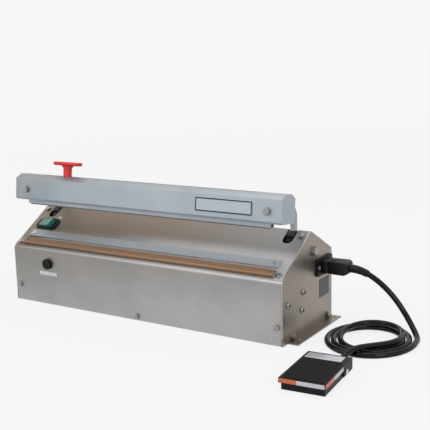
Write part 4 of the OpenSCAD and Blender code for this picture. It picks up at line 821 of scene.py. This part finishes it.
HEX_BOLTS = hex_bolt_tree()
RIB_RING = rib_ring_tree()
RIB_ROW = rib_row_tree()
PEBBLES = pebble_tree()


def places_mesh(name, places):
    """Points with the direction that each faces: a list of (matrix, whose Z is the direction)."""
    mesh = bpy.data.meshes.new(name)
    mesh.from_pydata([m.translation * MM for m in places], [], [])
    towards = mesh.attributes.new("facing", "FLOAT_VECTOR", "POINT")
    for item, m in zip(towards.data, places):
        item.vector = m.to_3x3() @ UP
    return mesh


FACE_FRONT, FACE_BACK = turned(math.pi / 2, "X"), turned(-math.pi / 2, "X")
FACE_RIGHT, FACE_LEFT = turned(math.pi / 2, "Y"), turned(-math.pi / 2, "Y")
COVER_BOLT_X, COVER_BOLT_Z, EDGE_BOLT_Z, BOLT_EDGE = 241.0, 27.0, 6.82, 0.12
DECK_BOLT_S, REAR_BOLT_S, END_BOLT_Y = (11.5, DECK_L - 12.8), 45.0, (-49.0, 64.4)
M5_HEAD, M6_HEAD, M8_HEAD = [{"across_flats": flats, "height": height}
                             for flats, height in ((8.0, 3.5), (10.0, 4.2), (13.0, 5.5))]


def on_front_and_rear(x, z):
    return [moved(x, FRONT_Y, z) @ FACE_FRONT, moved(x, REAR_Y, z) @ FACE_BACK]


def on_both_ends(y, z):
    return [moved(CASING_W / 2, y, z) @ FACE_RIGHT, moved(-CASING_W / 2, y, z) @ FACE_LEFT]


def casing_bolt_places():
    out = []
    for x in (-COVER_BOLT_X, COVER_BOLT_X):
        out += on_front_and_rear(x, COVER_BOLT_Z)
        out += [DECK @ moved(x, s, 0) for s in DECK_BOLT_S]
        out.append(REAR_SLOPE @ moved(x, REAR_BOLT_S, 0))
    out += on_front_and_rear(0, EDGE_BOLT_Z)
    for y in END_BOLT_Y:
        out += on_both_ends(y, EDGE_BOLT_Z)
    return out


def bolt_heads(name, node, places, head, seed, body):
    heads = grow(name, HEX_BOLTS, ZINC, mesh=places_mesh(name, places), seed=seed, **head)
    soften(heads, BOLT_EDGE, segments=1, angle=40)
    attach(heads, body)
    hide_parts(node)


bolt_heads("casing_bolt_heads", "casing_bolts", casing_bolt_places(), M5_HEAD, 3, "root")
bolt_heads("pivot_bolt_heads", "pivot_bolts", on_both_ends(PIVOT_Y, PIVOT_Z), M8_HEAD, 5, "root")
bolt_heads("jaw_bolt_heads", "jaw_bolts", [JAW @ moved(x, 0, ARM_W) @ FACE_FRONT for x in (-ARM_X, ARM_X)],
           M6_HEAD, 8, "jaw")


# Solids whose shape is right: a copy with softened edges stands for each one that shows

LARGE_EDGE, MERGE_GAP, FLAT_ANGLE = 0.5, 1e-6, math.radians(0.4)


def skin(node, width, material):
    source = frame["nodes"][node]
    mesh = source.data.copy()
    shape = bmesh.new()
    shape.from_mesh(mesh)
    bmesh.ops.remove_doubles(shape, verts=shape.verts, dist=MERGE_GAP)
    bmesh.ops.dissolve_limit(shape, angle_limit=FLAT_ANGLE, verts=shape.verts, edges=shape.edges)
    shape.to_mesh(mesh)
    shape.free()
    for layer in list(mesh.attributes):
        if layer.name.startswith("custom_normal"):
            mesh.attributes.remove(layer)
    obj = link_object(node + "_finished", mesh, material)
    soften(obj, width, 3 if width > LARGE_EDGE else 2)
    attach(obj, source["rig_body"])
    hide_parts(node)


SKINS = [
    (DECK_SHEET, 0.3, "front_deck_cover"),
    (SHEET, 0.3, "rear_cover"),
    (PLATE, 0.45, "left_end_plate right_end_plate"),
    (BAR, 0.35, "jaw_bar left_jaw_cap right_jaw_cap"),
    (BAR, 0.2, "seal_bar"),
    (HOLDER, 0.3, "strip_holder"),
    (SILICONE, 0.4, "silicone_strip"),
    (GALVANISED, 0.35, "pole_strip armature_bar"),
    (BAND, 0.3, "heater_terminals"),
    (ZINC, 0.2, "motor_screws"),
    (SCREW, 0.2, "pole_strip_screws inlet_screws pedal_pin"),
    (STEEL, 0.6, "left_arm right_arm"),
    (GUARD, 1.2, "slot_guards"),
    (BLACK, 0.7, "switch_housing inlet_housing"),
    (BLACK, 0.5, "timer_knob mains_gland"),
    (GREEN, 0.9, "switch_rocker"),
    (NAME_FACE, 0.15, "name_plate"),
    (RATING, 0.12, "rating_plate"),
    (PEDAL_BLACK, 0.7, "pedal_base"),
    (PEDAL_BLACK, 0.6, "pedal_tread"),
    (MAT, 0.3, "pedal_mat"),
    (VINYL, 0.4, "pedal_gland"),
]
for material, width, names in SKINS:
    for node in names.split():
        skin(node, width, material)

# The solids inside keep their own meshes
PLAIN = [
    (SHEET, "base_plate"),
    (BAND, "heating_band"),
    (CAST, "timer_pot gear_motor"),
    (IRON, "magnet_cores transformer_core"),
    (COPPER, "magnet_coils transformer_winding"),
    (BOARD, "control_board"),
    (STEEL, "cross_shaft crank connecting_rod cutter_plunger cutter_blade cutter_spring pedal_spring"),
    (BLACK, "cutter_carriage pedal_switch"),
]
for material, names in PLAIN:
    for node in names.split():
        data = frame["nodes"][node].data
        data.materials.clear()
        data.materials.append(material)


# Cutter knob: a flat-topped T with a flared neck

KNOB_HALF_W, KNOB_HALF_D, KNOB_TOP, KNOB_HALF_T = 26.0, 6.5, 64.2, 2.8
KNOB_END, KNOB_ROUND, KNOB_STEPS = 2.4, 1.9, 48
END_FACE, END_DEPTH = 0.06, 0.6
STEM_HALF_W, STEM_HALF_D, STEM_LOW, STEM_HIGH = 6.2, 4.0, 32.0, 59.0
NECK_LOW, NECK_FLARE_W, NECK_FLARE_D, STEM_ROUND, STEM_STEPS = 52.0, 7.0, 1.2, 1.4, 28


def make_cutter_knob():
    """The head is a flat-topped bar with round ends; the stem's neck flares into it."""
    place = JAW @ moved(CUTTER_X, STEM_U, 0)
    rings = []
    for k in range(KNOB_STEPS + 1):
        x = KNOB_HALF_W * math.sin(math.pi * (k / KNOB_STEPS - 0.5))
        edge = max(0.0, (abs(x) - KNOB_HALF_W + KNOB_END) / KNOB_END)
        close = math.sqrt(max(0.0, 1 - edge * edge)) * (1 - END_FACE) + END_FACE
        outline = rounded_outline(KNOB_HALF_D * (END_DEPTH + (1 - END_DEPTH) * close), KNOB_HALF_T * close,
                                  KNOB_ROUND * close)
        rings.append([(x, u, KNOB_TOP - KNOB_HALF_T + w) for u, w in outline])
    knob = piece("cutter_knob_moulded", *loft(rings), RED, place)
    rings = []
    for k in range(STEM_STEPS + 1):
        w = STEM_LOW + (STEM_HIGH - STEM_LOW) * k / STEM_STEPS
        rise = min(1.0, max(0.0, (w - NECK_LOW) / (STEM_HIGH - NECK_LOW)))
        flare = 1 - math.sqrt(1 - rise * rise)
        outline = rounded_outline(STEM_HALF_W + NECK_FLARE_W * flare, STEM_HALF_D + NECK_FLARE_D * flare,
                                  STEM_ROUND, 4)
        rings.append([(x, u, w) for x, u in outline])
    stem = piece("cutter_knob_stem", *loft(rings), RED, place)
    union = knob.modifiers.new("joined", "BOOLEAN")
    union.operation, union.object = "UNION", stem
    bake_modifiers(knob)
    bpy.data.objects.remove(stem)
    smooth_by_angle(knob, angle=50)
    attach(knob, "cutter")
    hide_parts("cutter_knob")


make_cutter_knob()


# Seal cover: cloth over the seal bar, with a rounded front lip, drawn lines and an eyelet at each end

SEAL_S, SEAL_HALF_W, SEAL_H, SEAL_LOW, SEAL_HALF_L, CLOTH_T = 13.0, 6.5, 4.5, 0.5, 233.0, 0.6
LIP_R, BACK_R = 1.8, 0.7
# Place and depth of each crease, and how far the ends draw in
CREASES, CREASE_HALF_W = ((-3.0, 0.16), (-0.4, 0.12), (2.6, 0.14)), 0.5
END_STEPS = ((0.0, 1.5), (0.4, 0.75), (1.1, 0.25), (2.2, 0.0))
EYELET_X, EYELET_S = 227.0, 13.8
EYELET_PROFILE = [(2.1, -0.3), (2.1, 0.15), (1.8, 0.45), (1.2, 0.5), (0.9, 0.2), (0.1, 0.2)]
TURNED_SIDES = 24


def arc(centre, radius, start, end, steps=6):
    angles = [math.radians(start + (end - start) * k / steps) for k in range(steps + 1)]
    return [(centre[0] + radius * math.cos(a), centre[1] + radius * math.sin(a)) for a in angles]


def seal_section():
    """The cover's outline across the seal, from its front foot over the top to the back, and back inside."""
    w, h = SEAL_HALF_W, SEAL_H
    out = [(-w, SEAL_LOW)] + arc((LIP_R - w, h - LIP_R), LIP_R, 180, 90)
    for s, depth in CREASES:
        out += [(s - CREASE_HALF_W, h), (s, h - depth), (s + CREASE_HALF_W, h)]
    out += arc((w - BACK_R, h - BACK_R), BACK_R, 90, 0, 4) + [(w, SEAL_LOW)]
    return out + [(w - CLOTH_T, SEAL_LOW), (w - CLOTH_T, h - CLOTH_T), (CLOTH_T - w, h - CLOTH_T),
                  (CLOTH_T - w, SEAL_LOW)]


def turned_pieces(name, profile, places, material, body):
    """The same turned solid at each place, as one piece; the profile is a list of (radius, height) pairs."""
    points, faces = [], []
    ring, shell = loft([[(r * c, r * s, h) for c, s in circle(TURNED_SIDES)] for r, h in profile])
    for place in places:
        faces += [tuple(i + len(points) for i in face) for face in shell]
        points += [place @ Vector(p) for p in ring]
    obj = smooth_by_angle(piece(name, points, faces, material), angle=45)
    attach(obj, body)


def make_seal_cover():
    section = seal_section()
    ends = [(SEAL_HALF_L - along, inset) for along, inset in END_STEPS]
    rings = [[(x, SEAL_S + s * (1 - inset / SEAL_HALF_W), n) for s, n in section]
             for x, inset in [(-x, inset) for x, inset in ends] + ends[::-1]]
    cover = smooth_by_angle(piece("seal_cover_cloth", *loft(rings), CLOTH, DECK), angle=40)
    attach(cover, "root")
    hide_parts("seal_cover")
    eyelets = [DECK @ moved(x, EYELET_S, SEAL_H) for x in (-EYELET_X, EYELET_X)]
    turned_pieces("seal_cover_eyelets", EYELET_PROFILE, eyelets, EYELET, "root")


make_seal_cover()


# Screw sockets: a dark liner in the motor screws' sockets as painted shade, and bare zinc in the pole strip
# screws' recesses

CRANK_Y, CRANK_Z, MOTOR_BOLT_R, MOTOR_BOLT_A = -38.0, 53.0, 24.2, (22.5, 176.0, -41.5)
MOTOR_SCREWS = [moved(CASING_W / 2, CRANK_Y + MOTOR_BOLT_R * math.cos(math.radians(a)),
                      CRANK_Z + MOTOR_BOLT_R * math.sin(math.radians(a))) @ FACE_RIGHT for a in MOTOR_BOLT_A]
SOCKET_PROFILE = [(0.1, 0.6), (2.3, 0.6), (2.3, 1.5), (0.1, 1.4)]
POLE_SCREW_X, POLE_SCREW_S, POLE_T = 225.5, 31.3, 3.5
POLE_SCREWS = [DECK @ moved(x, POLE_SCREW_S, POLE_T) for x in (-POLE_SCREW_X, POLE_SCREW_X)]
RECESS_PROFILE = [(0.1, 0.4), (1.1, 0.4), (1.1, 1.06), (0.1, 1.02)]
# Painted shade: a dark liner in each motor screw's socket
turned_pieces("motor_screw_socket_shade", SOCKET_PROFILE, MOTOR_SCREWS, IRON, "root")
turned_pieces("pole_screw_recesses", RECESS_PROFILE, POLE_SCREWS, ZINC, "root")


# Printed plates and stickers, all blank

STICKERS = [
    (slab("timer_label", (-195.8, -79.2, 48.3), (-159, -78.98, 54.3), 0.6, WHITE), "root"),
    (slab("deck_label", (-207.5, 68.6, -0.02), (-198.5, 76.4, 0.2), 3.8, CLEAR, DECK), "root"),
    (border("name_plate_frame", (106.7, -0.92, 9.2), (199.8, -0.78, 28.8), 1.8, PRINT_BLACK, JAW), "jaw"),
    (slab("pedal_label", (-27, 27.6, 16.38), (22, 46, 16.6), 0.8, FOIL, PEDAL), "tread"),
    (slab("pedal_front_orange", (-29, -49.4, 10.3), (-7, -49.18, 15.7), 0.4, ORANGE, PEDAL), "tread"),
    (slab("pedal_front_white", (-7, -49.4, 10.3), (29, -49.18, 15.7), 0.4, FOIL, PEDAL), "tread"),
    (slab("pedal_side_orange", (29.98, -48.2, 10.3), (30.2, -18, 15.7), 0.4, ORANGE, PEDAL), "tread"),
    (slab("pedal_side_white", (29.98, -18, 10.3), (30.2, 15, 15.7), 0.4, FOIL, PEDAL), "tread"),
]
for obj, body in STICKERS:
    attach(obj, body)


# Grip ribs on the timer knob and the plug, and pebbles on the pedal's mat

TIMER_GRIP = moved(-177, FRONT_Y - 2.5, 68) @ FACE_FRONT
TIMER_RIBS = {"count": 42, "radius": 8.4, "rib_radius": 0.3, "length": 3.6}
MAT_TOP = PEDAL @ moved(0, -10.1, 17.2)
MAT_PEBBLES = {"size_x": 49.0, "size_y": 67.0, "count_x": 24, "count_y": 33, "pebble_radius": 0.95,
               "seed": 11}
PLUG_RIB_X, PLUG_RIB_RISE = 266.4, 9.3
PLUG_RIBS = {"count": 8, "spacing": 2.5, "rib_radius": 0.8, "length": 18.0}


def make_grips():
    """Makes the ribs and the pebbles, and returns the plug's ribs."""
    knob = grow("timer_knob_ribs", RIB_RING, BLACK, TIMER_GRIP, **TIMER_RIBS)
    smooth_by_angle(knob, angle=40)
    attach(knob, "timer")
    mat = grow("pedal_mat_pebbles", PEBBLES, MAT, MAT_TOP, **MAT_PEBBLES)
    smooth_by_angle(mat, angle=60)
    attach(mat, "tread")
    out = []
    for name, rise in (("plug_ribs_top", PLUG_RIB_RISE), ("plug_ribs_low", -PLUG_RIB_RISE)):
        ribs = grow(name, RIB_ROW, PLUG_RUBBER, moved(PLUG_RIB_X, PLUG_Y, PLUG_Z + rise), **PLUG_RIBS)
        smooth_by_angle(ribs, angle=40)
        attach(ribs, "root")
        out.append(ribs)
    return out


plug_ribs = make_grips()


# Floor, world and lamps

PALE, PAPER = "#f7f7f7", (0.12, 0.12, 0.12, 1)
SEEN_STRENGTH, FILL_STRENGTH = 1.0, 0.6
# Far from the lamps the paper itself makes up for their light
GLOW_NEAR, GLOW_FAR, NEAR, FAR = 0.87, 0.93, 0.5, 5.0
FLOOR_HALF = 40000
# Name, place, aim, size and power
LAMPS = [
    ("key", (-1.5, -1.7, 1.9), (0.0, 0.0, 0.1), (3.2, 2.6), 32),
    ("fill", (2.2, -1.3, 1.2), (0.1, 0.0, 0.1), (0.8, 0.8), 14),
    ("top", (0.1, 0.6, 2.4), (0.05, 0.0, 0.1), (2.8, 2.2), 16),
]


def camera_like_rays(tree):
    """1 for rays from the camera, from gloss and through glass; 0 for the light that falls on the object."""
    path = add(tree, "ShaderNodeLightPath").outputs
    return joined("MAXIMUM", path["Is Camera Ray"], path["Is Glossy Ray"], path["Is Transmission Ray"])


def make_world():
    world = bpy.data.worlds.new("studio")
    world.use_nodes = True
    scene.world = world
    tree = world.node_tree
    tree.nodes.clear()
    fill, seen = [add(tree, "ShaderNodeBackground", {"Color": linear(PALE), "Strength": strength}).outputs[0]
                  for strength in (FILL_STRENGTH, SEEN_STRENGTH)]
    mix = add(tree, "ShaderNodeMixShader", {0: camera_like_rays(tree), 1: fill, 2: seen})
    add(tree, "ShaderNodeOutputWorld", {"Surface": mix.outputs[0]})


def make_floor():
    material = bpy.data.materials.new("floor_pale_paper")
    material.use_nodes = True
    tree = material.node_tree
    tree.nodes.clear()
    paper = add(tree, "ShaderNodeBsdfDiffuse", {"Color": PAPER})
    coords = add(tree, "ShaderNodeTexCoord").outputs["Object"]
    away = add(tree, "ShaderNodeVectorMath", {0: coords}, operation="LENGTH").outputs["Value"]
    level = add(tree, "ShaderNodeMapRange", {
        "Value": away, "From Min": NEAR, "From Max": FAR, "To Min": GLOW_NEAR, "To Max": GLOW_FAR},
        interpolation_type="SMOOTHSTEP").outputs[0]
    glow = add(tree, "ShaderNodeEmission", {"Color": linear(PALE), "Strength": level})
    dark = add(tree, "ShaderNodeEmission", {"Strength": 0.0})
    lit = add(tree, "ShaderNodeMixShader",
              {0: camera_like_rays(tree), 1: dark.outputs[0], 2: glow.outputs[0]})
    both = add(tree, "ShaderNodeAddShader", {0: paper.outputs[0], 1: lit.outputs[0]})
    add(tree, "ShaderNodeOutputMaterial", {"Surface": both.outputs[0]})
    corners = [(i * FLOOR_HALF, j * FLOOR_HALF, 0) for i, j in ((-1, -1), (1, -1), (1, 1), (-1, 1))]
    floor = piece("floor", corners, [(0, 1, 2, 3)], material)


def make_lamp(name, at, aim, size, power):
    data = bpy.data.lights.new(name, "AREA")
    data.shape, data.size, data.size_y, data.energy = "RECTANGLE", size[0], size[1], power
    lamp = bpy.data.objects.new(name, data)
    scene.collection.objects.link(lamp)
    lamp.location = at
    lamp.rotation_euler = (Vector(aim) - Vector(at)).to_track_quat("-Z", "Y").to_euler()


make_world()
make_floor()
for lamp in LAMPS:
    make_lamp(*lamp)
